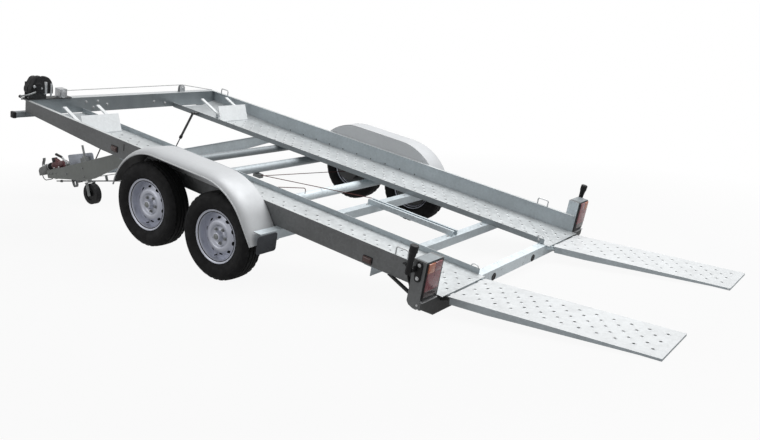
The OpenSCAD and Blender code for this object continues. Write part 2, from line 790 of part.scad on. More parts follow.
// Wheels
module at_wheel(front, left) {
    on_bed() side(left) translate([front ? front_x : rear_x, wheel_y, -hub_drop]) rotate([-90, 0, 0]) children();
}
rim_w = 128;
seat_r = 164;
flange_r = 182;
module tyre(front, left) {
    h = tyre_w / 2;
    b = rim_w / 2 - 7;
    color(black) at_wheel(front, left) rotate_extrude($fn = 64) polygon([
        [seat_r, -b], [flange_r + 4, -b], [flange_r + 10, -b - 10], [flange_r + 54, -h], [tyre_r - 34, -h + 6],
        [tyre_r - 8, -h + 20], [tyre_r, -h + 36], [tyre_r, h - 36], [tyre_r - 8, h - 20],
        [tyre_r - 34, h - 6], [flange_r + 54, h], [flange_r + 10, b + 10], [flange_r + 4, b], [seat_r, b]
    ]);
}
// Disc wheel: rim barrel, dished disc, vents and hub
vents = 12;
module rim(front, left) {
    h = rim_w / 2;
    color("#aeb2b6") at_wheel(front, left) difference() {
        union() {
            rotate_extrude($fn = 64) polygon([
                [seat_r - 6, -h + 6], [flange_r, -h], [flange_r, -h + 6], [seat_r, -h + 7],
                [seat_r, h - 7], [flange_r, h - 6], [flange_r, h], [seat_r - 6, h - 6]
            ]);
            rotate_extrude($fn = 64) polygon([
                [0, 8], [62, 8], [78, 24], [100, 26], [128, 4], [seat_r - 5, -2],
                [seat_r - 5, 4], [132, 12], [104, 34], [72, 34], [56, 18], [50, 18], [46, 54], [0, 54]
            ]);
        }
        for (i = [0 : vents - 1]) rotate([0, 0, i * 360 / vents])
            translate([136, 0, -10]) cylinder(r = 11, h = 40);
        translate([0, 0, -1]) cylinder(r = stub_r + play, h = 54);
    }
}

track(true);  // track_left
track(false);  // track_right
front_beam();
rear_beam();
side_rail(true);  // side_rail_left
side_rail(false);  // side_rail_right
cross_members();
centre_rail();
pivot_brackets();
strut_brackets();
axle(front_x);  // axle_front
axle(rear_x);  // axle_rear
fender(true);  // fender_left
fender(false);  // fender_right
wheel_stops();
lashing_loops();
lamp_box(true);  // lamp_box_left
lamp_box(false);  // lamp_box_right
lamp_lens(true);  // lamp_lens_left
lamp_lens(false);  // lamp_lens_right
lock_levers();
marker_arms();
side_markers();
winch_base();
winch_drum();
winch_cable();
cable_pulley();
brake_cables();
drawbar_rail(true);  // drawbar_rail_left
drawbar_rail(false);  // drawbar_rail_right
drawbar_nose();
drawbar_plate();
overrun_housing();
bellows();
coupling_head();
coupling_handle();
handbrake();
brake_rod();
breakaway_cable();
jockey_column();
jockey_leg();
jockey_wheel();
strut_barrel(true);  // strut_barrel_left
strut_barrel(false);  // strut_barrel_right
strut_rod(true);  // strut_rod_left
strut_rod(false);  // strut_rod_right
ramp(true);  // ramp_left
ramp(false);  // ramp_right
tyre(true, true);  // tyre_front_left
tyre(true, false);  // tyre_front_right
tyre(false, true);  // tyre_rear_left
tyre(false, false);  // tyre_rear_right
rim(true, true);  // rim_front_left
rim(true, false);  // rim_front_right
rim(false, true);  // rim_rear_left
rim(false, false);  // rim_rear_right
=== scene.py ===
"""Looks of a tilting car transport trailer: finishes for its solids, and the fine pieces on them."""

import json
import math

import bmesh
import bpy
from bpy.props import FloatProperty, FloatVectorProperty, IntProperty, PointerProperty
from mathutils import Matrix, Vector


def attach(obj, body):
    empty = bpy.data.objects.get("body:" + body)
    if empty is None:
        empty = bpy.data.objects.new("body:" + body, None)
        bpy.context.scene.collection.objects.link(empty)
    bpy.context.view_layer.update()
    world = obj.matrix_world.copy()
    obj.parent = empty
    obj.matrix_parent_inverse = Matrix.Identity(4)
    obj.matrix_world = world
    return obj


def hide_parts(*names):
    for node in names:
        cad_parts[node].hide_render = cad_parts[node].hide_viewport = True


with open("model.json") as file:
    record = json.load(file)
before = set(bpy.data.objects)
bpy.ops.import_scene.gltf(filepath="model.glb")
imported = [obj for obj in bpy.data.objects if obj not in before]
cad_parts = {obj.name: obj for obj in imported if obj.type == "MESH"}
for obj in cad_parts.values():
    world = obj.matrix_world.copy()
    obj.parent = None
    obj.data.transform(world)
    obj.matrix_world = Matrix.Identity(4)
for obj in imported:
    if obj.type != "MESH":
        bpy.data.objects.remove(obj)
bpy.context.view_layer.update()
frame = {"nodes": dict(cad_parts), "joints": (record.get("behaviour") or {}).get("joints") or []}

bl_info = {
    "name": "Car transport trailer",
    "version": (1, 0, 0),
    "blender": (4, 5, 0),
    "location": "View3D > Sidebar > Trailer",
    "description": "Dresses a tilting car transport trailer in galvanised steel, rubber and paint",
    "category": "Object",
}

JOINTS = {joint["name"]: joint for joint in frame["joints"]}
SIDES = (("left", 1), ("right", -1))
WHEELS = [(f"{end}_{side}", sign) for end in ("front", "rear") for side, sign in SIDES]

# Sizes of the solids that the pieces sit on, in millimetres and degrees
HALF_WIDTH = 1007
LIP_Y = 488
REAR_X = 1611
FRONT_X = 2289
WHEEL_Y = 1159
HUB_DROP = 152
TYRE_R = 298
TRACK_Y = 747.5
RAMP_LEN = 1270
RAMP_HALF = 228
RAMP_TOP = 14
LAMP_X = 40
LAMP_W = 183
LAMP_OUT = HALF_WIDTH + LAMP_W
LAMP_LOW = 6
LAMP_HIGH = 235
BEAM_X = 4022
WINCH_X = 4023
PULLEY_Y = -600
PULLEY_Z = 172
FAIRLEAD_Y = 720
FAIRLEAD_Z = 145
COMPENSATOR_X = FRONT_X + 125
ARM_REACH = 150
CROSS_X = (1232, 514)
MARKERS = ((2922, 48), (552, 30))
RAIL_TOP = 42
RAIL_SPREAD = 790
RAIL_NOSE = 100
RAIL_RUN = 2240
COUPLING_Z = 86.3
STRUT_PIN = (3692, 432, 22)
STRUT_LEAN = math.radians(63.45)
STRUT_LEN = 542.6
BARREL_LEN = 307.6
FENDER_R = 470
FENDER_Z = -215
FENDER_IN = HALF_WIDTH + 4
FENDER_OUT = WHEEL_Y + 84
FENDER_SQUAT = 40
FENDER_DROP = 38
FENDER_SHEET = 4
FENDER_TIP = 11
FENDER_FLARE = 36
FENDER_TAIL = (45, 90, 135, 180)
SKIRT_Z = 82
FLAP_X = 1232


def turn_y(angle):
    """Turn about the axis across the trailer."""
    return Matrix.Rotation(angle, 4, "Y")


def joint_place(name):
    """Place of a joint at rest."""
    return Matrix.Translation(JOINTS[name]["pos_m"])


# Frames of the bed and the drawbar, from the joints, for points in millimetres
MM = Matrix.Scale(0.001, 4)
rear_hub = Vector(JOINTS["wheel_spin_rear_left"]["pos_m"])
front_hub = Vector(JOINTS["wheel_spin_front_left"]["pos_m"])
TILT = math.atan2(front_hub.z - rear_hub.z, front_hub.x - rear_hub.x)
BED_TURN = turn_y(-TILT)
BED_ORIGIN = rear_hub - BED_TURN @ Vector((REAR_X, WHEEL_Y, -HUB_DROP)) * 0.001
BED = Matrix.Translation(BED_ORIGIN) @ BED_TURN @ MM
BED_BACK = BED.inverted()
slide = JOINTS["jockey_slide"]["axis"]
BAR = joint_place("drawbar_tilt") @ turn_y(math.atan2(slide[0], slide[2])) @ MM
ramp_drop = math.asin(JOINTS["ramp_swing_left"]["pos_m"][2] * 1000 / RAMP_LEN)


def ramp_place(side):
    """Frame of a ramp: X from its hinge toward the bed, Z off its tread."""
    return joint_place(f"ramp_swing_{side}") @ turn_y(-ramp_drop) @ MM


class Shape:
    """Points and faces of one piece, each face with the number of its finish."""

    def __init__(self):
        self.points = []
        self.faces = []
        self.paints = []

    def add(self, points, faces, paint=0):
        """Takes in points, and faces that count from the first of them."""
        first = len(self.points)
        self.points += [Vector(p) for p in points]
        self.faces += [[first + i for i in face] for face in faces]
        self.paints += [paint] * len(faces)

    def loft(self, rings, paint=0, caps=True):
        """Skin over rings of equally many points."""
        count = len(rings[0])
        faces = []
        for k in range(len(rings) - 1):
            for i in range(count):
                j = (i + 1) % count
                faces.append((k * count + i, k * count + j, (k + 1) * count + j, (k + 1) * count + i))
        if caps:
            faces.append(tuple(range(count - 1, -1, -1)))
            faces.append(tuple((len(rings) - 1) * count + i for i in range(count)))
        self.add([p for ring in rings for p in ring], faces, paint)

    def prism(self, outline, low, high, axis="y", paint=0, soft=0.0):
        """Flat outline drawn out along one axis, its far edge softened."""
        put = {
            "x": lambda u, w, t: (t, u, w),
            "y": lambda u, w, t: (u, t, w),
            "z": lambda u, w, t: (u, w, t),
        }[axis]
        step = soft if high > low else -soft
        levels = [(0, low), (0, high - step), (-0.3 * soft, high - 0.3 * step), (-soft, high)]
        if not soft:
            levels = [(0, low), (0, high)]
        rings = []
        for grow, t in levels:
            rings.append([put(u, w, t) for u, w in (scaled(outline, grow) if grow else outline)])
        self.loft(rings, paint)

    def block(self, low, high, paint=0, r=0.0):
        """Box between two corners, its upright edges rounded by r."""
        outline = [(low[0], low[1]), (high[0], low[1]), (high[0], high[1]), (low[0], high[1])]
        if r:
            outline = rounded(low[0], low[1], high[0], high[1], r, 3)
        self.prism(outline, low[2], high[2], "z", paint, r)

    def turned(self, place, profile, sides=24, paint=0, caps=True):
        """Profile of (radius, height) pairs turned about the local Z axis of place."""
        rings = []
        for r, z in profile:
            ring = []
            for i in range(sides):
                a = 2 * math.pi * i / sides
                ring.append(place @ Vector((r * math.cos(a), r * math.sin(a), z)))
            rings.append(ring)
        self.loft(rings, paint, caps)

    def swept(self, path, section, paint=0, across=None):
        """Section of (side, up) pairs carried along a path; across fixes the side direction."""
        path = [Vector(p) for p in path]
        side = Vector(across) if across else None
        rings = []
        for i, point in enumerate(path):
            along = (path[min(i + 1, len(path) - 1)] - path[max(i - 1, 0)]).normalized()
            if side is None:
                side = along.orthogonal()
            side = (side - along * side.dot(along)).normalized()
            up = along.cross(side)
            rings.append([point + side * s + up * t for s, t in section])
        self.loft(rings, paint)

    def tube(self, path, radius, sides=10, paint=0):
        """Round bar along a path."""
        steps = [2 * math.pi * k / sides for k in range(sides)]
        self.swept(path, [(radius * math.cos(a), radius * math.sin(a)) for a in steps], paint)

    def strap(self, path, wide, thick, across, paint=0):
        """Flat bar with softened edges along a path."""
        section = rounded(-wide / 2, -thick / 2, wide / 2, thick / 2, thick * 0.35, 2)
        self.swept(path, section, paint, across)

    def bolt(self, centre, axis, size, paint=0):
        """Hexagon head on a washer; size is the head's half width."""
        place = facing(centre, axis)
        washer = [(size * 1.5, -1), (size * 1.5, 1.2), (size * 1.35, 2), (size * 0.9, 2)]
        self.turned(place, washer, 14, paint)
        head = [(size * 1.1, 1.8), (size * 1.1, size * 0.85), (size * 0.92, size * 1.05)]
        self.turned(place, head, 6, paint)

    def piece(self, name, body, finishes, place, crease=38.0):
        """Makes the object, in the shared frame, riding on its body."""
        mesh = bpy.data.meshes.new(name)
        mesh.from_pydata([place @ p for p in self.points], [], self.faces)
        for finish_name in finishes:
            mesh.materials.append(finish(finish_name))
        mesh.polygons.foreach_set("material_index", self.paints)
        work = bmesh.new()
        work.from_mesh(mesh)
        bmesh.ops.remove_doubles(work, verts=work.verts, dist=1e-6)
        bmesh.ops.recalc_face_normals(work, faces=work.faces)
        limit = math.radians(crease)
        for face in work.faces:
            face.smooth = True
        for edge in work.edges:
            edge.smooth = not edge.is_manifold or edge.calc_face_angle(0) < limit
        work.to_mesh(mesh)
        work.free()
        made = bpy.data.objects.new(name, mesh)
        bpy.context.scene.collection.objects.link(made)
        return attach(made, body)


def facing(centre, axis):
    """Frame at centre whose Z points along axis."""
    turn = Vector((0, 0, 1)).rotation_difference(Vector(axis)).to_matrix().to_4x4()
    return Matrix.Translation(Vector(centre)) @ turn


def rounded(u0, w0, u1, w1, r, steps=4):
    """Outline of a rectangle with round corners."""
    corners = ((u1 - r, w1 - r), (u0 + r, w1 - r), (u0 + r, w0 + r), (u1 - r, w0 + r))
    outline = []
    for k, (cu, cw) in enumerate(corners):
        for i in range(steps + 1):
            a = math.radians(90 * k + 90 * i / steps)
            outline.append((cu + r * math.cos(a), cw + r * math.sin(a)))
    return outline


def scaled(outline, grow):
    """Outline moved in or out from its middle by about grow."""
    us = [p[0] for p in outline]
    ws = [p[1] for p in outline]
    cu, cw = (min(us) + max(us)) / 2, (min(ws) + max(ws)) / 2
    ku = 1 + 2 * grow / (max(us) - min(us))
    kw = 1 + 2 * grow / (max(ws) - min(ws))
    return [(cu + (u - cu) * ku, cw + (w - cw) * kw) for u, w in outline]


def smooth_path(points, steps=6):
    """Rounds a path by a curve through its points."""
    points = [Vector(p) for p in points]
    path = []
    for i in range(len(points) - 1):
        a, b = points[i], points[i + 1]
        before = points[i - 1] if i else a
        after = points[i + 2] if i + 2 < len(points) else b
        for k in range(steps):
            t = k / steps
            path.append(0.5 * (2 * a + (b - before) * t + (2 * before - 5 * a + 4 * b - after) * t * t
                               + (3 * a - before - 3 * b + after) * t * t * t))
    return path + [points[-1]]


def mirrored(points, sign):
    """Points on the left as they are, or carried over to the right."""
    return [(x, sign * y, z) for x, y, z in points]


# Sizes and colours that a user would change


def length(name, text, value):
    """Setting for a length in metres."""
    return FloatProperty(name=name, description=text, default=value, unit="LENGTH")


def number(name, text, value, low, high):
    """Setting for a count."""
    return IntProperty(name=name, description=text, default=value, min=low, max=high)


def colour(name, text, value):
    """Setting for a colour."""
    return FloatVectorProperty(
        name=name, description=text, default=value, size=3, min=0, max=1, subtype="COLOR")


class TrailerSizes(bpy.types.PropertyGroup):
    """Sizes of the fine pieces and the floor"""

    hole_radius: length("Hole radius", "Radius of a grip hole in the tracks and ramps", 0.0092)
    hole_pitch: length("Hole pitch", "Distance between grip holes along a line", 0.103)
    line_gap: length("Line gap", "Distance between lines of grip holes", 0.067)
    shoulder: length("Fender shoulder", "Width of the fender's round outer shoulder", 0.084)
    bead: length("Fender bead", "Radius of the rolled bead on the fender's edge", 0.005)
    groove: length("Tread groove", "Depth of the grooves in the tread", 0.006)
    vents: number("Wheel vents", "Oval holes around each wheel", 10, 6, 16)
    wheel_bolts: number("Wheel bolts", "Bolts on each wheel", 5, 3, 8)
    floor_side: length("Floor side", "Side of the studio floor", 80.0)


class TrailerColours(bpy.types.PropertyGroup):
    """Colours of the finishes"""

    # Floor, inner walls and outer walls are one galvanised steel in three tones: the floor lighter as
    # painted light, the outer walls darkened as painted shade.
    floor_steel: colour("Track floor", "Galvanised floor of the tracks", (0.56, 0.585, 0.595))
    wall_steel: colour("Inner walls", "Galvanised inner side of the walls", (0.42, 0.465, 0.49))
    painted_shade_steel: colour("Outer walls", "Outer side of the walls, darkened as painted shade", (0.155, 0.16, 0.163))
    ramp_steel: colour("Ramps", "Pale tread of the ramps", (0.66, 0.68, 0.69))
    bar_steel: colour("Drawbar", "Grey-green steel of the drawbar", (0.165, 0.178, 0.168))
    fender_paint: colour("Fenders", "Light grey fender paint", (0.535, 0.55, 0.565))
    wheel_silver: colour("Wheels", "Silver wheel paint with a trace of lilac", (0.53, 0.55, 0.625))
    tyre_black: colour("Tyres", "Tyre rubber", (0.0055, 0.0055, 0.006))
    black_plastic: colour("Black plastic", "Levers, covers and surrounds", (0.013, 0.013, 0.014))
    lens_red: colour("Red lens", "Tail lamp lens", (0.25, 0.055, 0.068))
    lens_amber: colour("Amber lens", "Turn signal lens", (0.50, 0.13, 0.045))
    casting_red: colour("Overrun casting", "Painted casting of the overrun device", (0.10, 0.027, 0.03))
    cable_red: colour("Brake cables", "Sheath of the brake cables", (0.10, 0.028, 0.028))


# Finishes


def shade(c, k):
    """Colour made darker or lighter by a factor."""
    return (min(c[0] * k, 1), min(c[1] * k, 1), min(c[2] * k, 1), 1)


class Surface:
    """Node material made in plain steps: two tones, a patchy mix, roughness and bump."""

    def __init__(self, name, metal=0.0, **fixed):
        self.material = bpy.data.materials.new(name)
        self.material.use_nodes = True
        self.tree = self.material.node_tree
        self.shader = self.tree.nodes["Principled BSDF"]
        self.shader.inputs["Metallic"].default_value = metal
        for socket, value in fixed.items():
            self.shader.inputs[socket.replace("_", " ")].default_value = value
        self.place = self.make("ShaderNodeTexCoord").outputs["Object"]

    def make(self, kind, **settings):
        """Adds a node, with values for its sockets or settings."""
        node = self.tree.nodes.new(kind)
        for key, value in settings.items():
            if key in node.inputs:
                node.inputs[key].default_value = value
            else:
                setattr(node, key, value)
        return node

    def join(self, a, b):
        """Links two sockets."""
        self.tree.links.new(a, b)

    def stretched(self, scale):
        """Coordinates drawn out along an axis."""
        node = self.make("ShaderNodeMapping")
        node.inputs["Scale"].default_value = scale
        self.join(self.place, node.inputs["Vector"])
        return node.outputs["Vector"]

    def noise(self, scale, detail=4.0, where=None):
        """Soft patches, so many to the metre."""
        node = self.make("ShaderNodeTexNoise", Scale=scale, Detail=detail, Roughness=0.6)
        self.join(where or self.place, node.inputs["Vector"])
        return node.outputs["Fac"]

    def cells(self, scale):
        """Cells with sharp borders, like spangle."""
        node = self.make("ShaderNodeTexVoronoi", Scale=scale)
        self.join(self.place, node.inputs["Vector"])
        return node

    def blend(self, a, b, share):
        """Mix of two patterns by a fixed share."""
        node = self.make("ShaderNodeMix", data_type="FLOAT")
        node.inputs[0].default_value = share
        self.join(a, node.inputs[2])
        self.join(b, node.inputs[3])
        return node.outputs[0]

    def tones(self, value, dark, light, low=0.32, high=0.68):
        """Base colour between a dark and a light tone."""
        node = self.make("ShaderNodeValToRGB")
        node.color_ramp.elements[0].position = low
        node.color_ramp.elements[0].color = dark
        node.color_ramp.elements[1].position = high
        node.color_ramp.elements[1].color = light
        self.join(value, node.inputs["Fac"])
        self.join(node.outputs["Color"], self.shader.inputs["Base Color"])

    def spread(self, value, from_low, from_high, low, high):
        """Carries a value from one range into another."""
        node = self.make("ShaderNodeMapRange")
        limits = (("From Min", from_low), ("From Max", from_high), ("To Min", low), ("To Max", high))
        for socket, limit in limits:
            node.inputs[socket].default_value = limit
        self.join(value, node.inputs["Value"])
        return node.outputs["Result"]

    def rough(self, value, low, high):
        """Roughness between two limits."""
        self.join(self.spread(value, 0.3, 0.7, low, high), self.shader.inputs["Roughness"])

    def bump(self, value, strength, depth=0.001):
        """Fine relief."""
        node = self.make("ShaderNodeBump", Strength=strength, Distance=depth)
        self.join(value, node.inputs["Height"])
        self.join(node.outputs["Normal"], self.shader.inputs["Normal"])


def galvanised(name, c, metal, low, high, contrast=0.16, spangled=0.22):
    """Hot dip galvanised steel: spangle, clouding and faint runs."""
    s = Surface(name, metal)
    cloud = s.noise(2.3, 5)
    runs = s.noise(9, 4, s.stretched((1.0, 1.0, 0.22)))
    spangle = s.cells(62)
    mixed = s.blend(s.blend(cloud, runs, 0.45), spangle.outputs["Color"], spangled)
    s.tones(mixed, shade(c, 1 - contrast), shade(c, 1 + contrast * 0.7))
    s.rough(s.blend(runs, spangle.outputs["Color"], 1.8 * spangled), low, high)
    s.bump(s.blend(s.noise(240, 2), spangle.outputs["Distance"], 0.4), 0.5 * spangled, 0.0006)
    return s.material


def painted(name, c, low, high, coat=0.0, metal=0.0, contrast=0.07, peel=170):
    """Satin paint with a little dust and a fine orange peel."""
    s = Surface(name, metal, Coat_Weight=coat, Coat_Roughness=0.25)
    dust = s.blend(s.noise(3.1, 5), s.noise(38, 4), 0.35)
    s.tones(dust, shade(c, 1 - contrast), shade(c, 1 + contrast * 0.6))
    s.rough(s.noise(11, 4), low, high)
    s.bump(s.noise(peel, 2), 0.05, 0.0005)
    return s.material


def rubber(name, c, low, high, scuff=1.5):
    """Black rubber or moulded plastic with grey scuffs."""
    s = Surface(name, Specular_IOR_Level=0.2)
    marks = s.blend(s.noise(14, 5), s.noise(90, 3), 0.4)
    s.tones(marks, shade(c, 0.8), shade(c, scuff), 0.35, 0.8)
    s.rough(s.noise(26, 3), low, high)
    s.bump(s.noise(420, 2), 0.18, 0.0006)
    return s.material


def casting(name, c, metal, low, high):
    """Sand cast or forged surface: grainy, with darker hollows."""
    s = Surface(name, metal)
    grain = s.blend(s.noise(16, 5), s.noise(150, 3), 0.45)
    s.tones(grain, shade(c, 0.62), shade(c, 1.22))
    s.rough(s.noise(40, 3), low, high)
    s.bump(s.noise(300, 3), 0.3, 0.0009)
    return s.material


def lens(name, c, ribs=70):
    """Clear coloured lamp lens with fine prisms behind a glossy face."""
    s = Surface(name, Coat_Weight=0.5, Coat_Roughness=0.12)
    wave = s.make("ShaderNodeTexWave", Scale=ribs, Distortion=0.0, bands_direction="Y")
    s.join(s.place, wave.inputs["Vector"])
    prisms = s.blend(wave.outputs["Fac"], s.noise(20, 3), 0.4)
    s.tones(prisms, shade(c, 0.72), shade(c, 1.25), 0.2, 0.8)
    s.rough(s.noise(60, 2), 0.18, 0.32)
    s.bump(wave.outputs["Fac"], 0.12, 0.0008)
    return s.material


def finish(name):
    """The named finish, made once."""
    made = bpy.data.materials.get(name)
    if made:
        return made
    c = bpy.context.scene.trailer_colours
    makers = {
        # The galvanised finishes below are copies of one steel, made lighter and darker by where a face
        # looks and lies: painted light on the floor, rails and rear tubes, painted shade on the outer
        # walls, corners, lip, beam face, front tube and axle arms.
        "track_floor": lambda: galvanised(name, c.floor_steel, 0.3, 0.36, 0.52),
        "wall_inside": lambda: galvanised(name, c.wall_steel, 0.4, 0.36, 0.52),
        # Outer side of the walls: the galvanised steel darkened as painted shade.
        "wall_outside_painted_shade": lambda: galvanised(name, c.painted_shade_steel, 0.2, 0.42, 0.6, 0.28),
        # Rear beam corners and winch base: the outer wall copy darkened further as painted shade.
        "corner_steel_painted_shade": lambda: galvanised(name, shade(c.painted_shade_steel, 0.2), 0.15, 0.45, 0.6, 0.22),
        # Lip, side rails, marker arms and lamp lid: a darker copy of the wall steel as painted shade.
        "lip_steel_painted_shade": lambda: galvanised(name, shade(c.wall_steel, 0.62), 0.4, 0.36, 0.52),
        # Rear face of the front beam: a darker, glossier copy of the wall steel as painted shade.
        "beam_face_painted_shade": lambda: galvanised(name, shade(c.wall_steel, 0.6), 0.55, 0.28, 0.36, 0.16, 0.06),
        "ramp_tread": lambda: galvanised(name, c.ramp_steel, 0.2, 0.4, 0.56, 0.09),
        "stop_plate": lambda: galvanised(name, shade(c.ramp_steel, 1.2), 0.1, 0.42, 0.58, 0.08),
        # Rails, cross members and inward faces: a lighter copy of the wall steel as painted light.
        "rail_painted_light": lambda: galvanised(name, shade(c.wall_steel, 1.35), 0.35, 0.3, 0.46),
        # Rear beam and rear axle tube: a much lighter copy of the wall steel as painted highlight.
        "tube_painted_highlight": lambda: galvanised(name, shade(c.wall_steel, 1.9), 0.12, 0.26, 0.4, 0.12),
        # Front cross tube: a darker copy of the wall steel as painted shade.
        "tube_painted_shade": lambda: galvanised(name, shade(c.wall_steel, 0.58), 0.4, 0.36, 0.5, 0.14),
        "drawbar_steel": lambda: galvanised(name, c.bar_steel, 0.25, 0.42, 0.6, 0.34),
        # Axle arms, brackets and brake drums: a very dark copy of the outer wall steel as painted shade.
        "axle_steel_painted_shade": lambda: galvanised(name, shade(c.painted_shade_steel, 0.5), 0.3, 0.45, 0.65, 0.25),
        "plate_steel": lambda: galvanised(name, (0.47, 0.50, 0.56), 0.4, 0.34, 0.5, 0.2),
        "zinc": lambda: casting(name, (0.52, 0.53, 0.54), 0.7, 0.28, 0.45),
        "dull_zinc": lambda: casting(name, (0.24, 0.25, 0.25), 0.55, 0.35, 0.5),
        "cast_iron": lambda: casting(name, (0.20, 0.205, 0.205), 0.45, 0.4, 0.6),
        "red_casting": lambda: casting(name, c.casting_red, 0.1, 0.42, 0.62),
        "wire_rope": lambda: casting(name, (0.33, 0.34, 0.34), 0.6, 0.35, 0.55),
        # Near black discs that close the holes: painted shade in the openings.
        "hole_painted_shade": lambda: casting(name, (0.035, 0.037, 0.04), 0.0, 0.7, 0.9),
        "fender_paint": lambda: painted(name, c.fender_paint, 0.46, 0.58, 0.05, 0.25),
        # Fender underside: the fender paint made nearly black as painted shade.
        "fender_underside_painted_shade": lambda: painted(name, shade(c.fender_paint, 0.04), 0.5, 0.65),
        "flap_grey": lambda: rubber(name, (0.085, 0.09, 0.10), 0.55, 0.75, 1.3),
        "wheel_silver": lambda: painted(name, c.wheel_silver, 0.28, 0.42, 0.2, 0.4, 0.1),
        "tyre_rubber": lambda: rubber(name, c.tyre_black, 0.62, 0.82),
        "black_plastic": lambda: rubber(name, c.black_plastic, 0.35, 0.55),
        "bellows_rubber": lambda: rubber(name, shade(c.black_plastic, 1.1), 0.5, 0.7),
        "cable_sheath": lambda: rubber(name, c.cable_red, 0.4, 0.55, 1.3),
        "strut_black": lambda: painted(name, shade(c.black_plastic, 0.9), 0.2, 0.35, 0.5),
        "strut_rod": lambda: casting(name, (0.03, 0.03, 0.032), 0.5, 0.25, 0.4),
        "lens_red": lambda: lens(name, c.lens_red),
        # Lower band of the tail lamp lens: the red lens darkened as painted shade.
        "lens_red_painted_shade": lambda: lens(name, shade(c.lens_red, 0.1)),
        "lens_amber": lambda: lens(name, c.lens_amber),
        "lens_marker": lambda: lens(name, (0.06, 0.015, 0.012)),
    }
    return makers[name]()


def dress(node, *names, choose=None):
    """Gives a solid its finishes; choose picks one by a face's middle and normal in the bed's frame."""
    mesh = frame["nodes"][node].data
    mesh.materials.clear()
    for name in names:
        mesh.materials.append(finish(name))
    turn = BED_TURN.to_3x3().inverted()
    picks = [choose(BED_BACK @ p.center, turn @ p.normal) if choose else 0 for p in mesh.polygons]
    mesh.polygons.foreach_set("material_index", picks)
    mesh.update()


# Solids with one finish all over
PLAIN_SOLIDS = {
    # Centre rail in the lighter rail copy, painted light.
    "rail_painted_light": ["centre_rail"],
    "stop_plate": ["wheel_stops"],
    # Side rails and marker arms in the darker lip copy, painted shade.
    "lip_steel_painted_shade": ["side_rail_left", "side_rail_right", "marker_arms"],
    # Pivot and strut brackets in the dark axle copy, painted shade.
    "axle_steel_painted_shade": ["pivot_brackets", "strut_brackets"],
    "drawbar_steel": ["drawbar_nose"],
    "plate_steel": ["drawbar_plate"],
    "zinc": ["lashing_loops"],
    "dull_zinc": ["jockey_column", "jockey_leg", "brake_rod"],
    "cast_iron": ["coupling_head"],
    "wire_rope": ["winch_cable"],
    "black_plastic": ["jockey_wheel", "breakaway_cable"],
    "strut_black": ["strut_barrel_left", "strut_barrel_right"],
    "strut_rod": ["strut_rod_left", "strut_rod_right"],
    "lens_marker": ["side_markers"],
}


class TRAILER_OT_steelwork(bpy.types.Operator):
    """Finish the steel, rubber and plastic solids"""

    bl_idname = "trailer.steelwork"
    bl_label = "Steelwork"

    def execute(self, context):
        for name, nodes in PLAIN_SOLIDS.items():
            for node in nodes:
                dress(node, name)
        # Front beam by facing: the top in the floor tone as painted light, the rear face and the rest
        # darker as painted shade.
        dress("front_beam", "track_floor", "beam_face_painted_shade", "wall_outside_painted_shade",
              choose=lambda p, n: 0 if n.z > 0.7 else (1 if n.x < -0.7 else 2))
        # Rear beam: the bright copy as painted highlight, its outer corners darkened as painted shade.
        dress("rear_beam", "tube_painted_highlight", "corner_steel_painted_shade",
              choose=lambda p, n: 1 if abs(p.y) > TRACK_Y + 20 else 0)
        # Cross members: the lighter rail copy as painted light, the front tube and the outer ends darkened
        # as painted shade.
        dress("cross_members", "rail_painted_light", "tube_painted_shade", "wall_outside_painted_shade",
              choose=lambda p, n: 2 if abs(p.y) > HALF_WIDTH - 2 else (1 if p.x > FRONT_X else 0))
        # Winch base in the darkened corner copy as painted shade, its top by the fairlead in zinc.
        dress("winch_base", "corner_steel_painted_shade", "zinc",
              choose=lambda p, n: 1 if p.z > FAIRLEAD_Z and p.y < FAIRLEAD_Y else 0)
        dress("brake_cables", "cable_sheath", "dull_zinc",
              choose=lambda p, n: 1 if abs(p.x - COMPENSATOR_X) < 42 and abs(p.y) < 23 else 0)
        for side, sign in SIDES:
            # Drawbar rails lighter on their inward faces as painted light; lamp boxes lighter inward and
            # darker outside as painted light and shade.
            dress(f"drawbar_rail_{side}", "drawbar_steel", "rail_painted_light",
                  choose=lambda p, n: 1 if n.y * sign < -0.3 else 0)
            dress(f"lamp_box_{side}", "wall_outside_painted_shade", "rail_painted_light",
                  choose=lambda p, n: 1 if n.y * sign < -0.5 else 0)
            dress(f"track_{side}", "wall_inside", "track_floor", "wall_outside_painted_shade", "lip_steel_painted_shade",
                  choose=lambda p, n: self.track_face(p, n, sign))
            dress(f"ramp_{side}", "ramp_tread", "wall_inside", choose=lambda p, n: 0 if n.z > 0.5 else 1)
        # Axles: the rear tube in the bright copy as painted highlight, the arms and plates in the dark copy
        # as painted shade.
        dress("axle_front", "wall_inside", "axle_steel_painted_shade", choose=self.axle_face)
        dress("axle_rear", "tube_painted_highlight", "axle_steel_painted_shade", choose=self.axle_face)
        return {"FINISHED"}

    def track_face(self, p, n, sign):
        """Outer wall, edge of the inner lip, floor, or else the wall's inside: the outer wall and the lip
        edge darker as painted shade, the floor lighter as painted light.
        """
        if n.y * sign > 0.7 and abs(p.y) > HALF_WIDTH - 2:
            return 2
        if n.y * sign < -0.7 and abs(p.y) < LIP_Y + 2:
            return 3
        return 1 if n.z > 0.7 else 0

    def axle_face(self, p, n):
        """The tube between the tracks, or the arms and plates at its ends; the arms and plates take the
        dark copy as painted shade.
        """
        tube = abs(p.y) < HALF_WIDTH - 120 or abs(n.y) < 0.1 and p.z > -120
        return 0 if tube else 1


# First and last grip hole along a track and a ramp, and the drain holes along a wall
TRACK_HOLES = (44, 3400)
RAMP_HOLES = (60, RAMP_LEN - 40)
DRAINS = [1548 + 160 * k for k in range(10)]
DRAIN_Z = 12


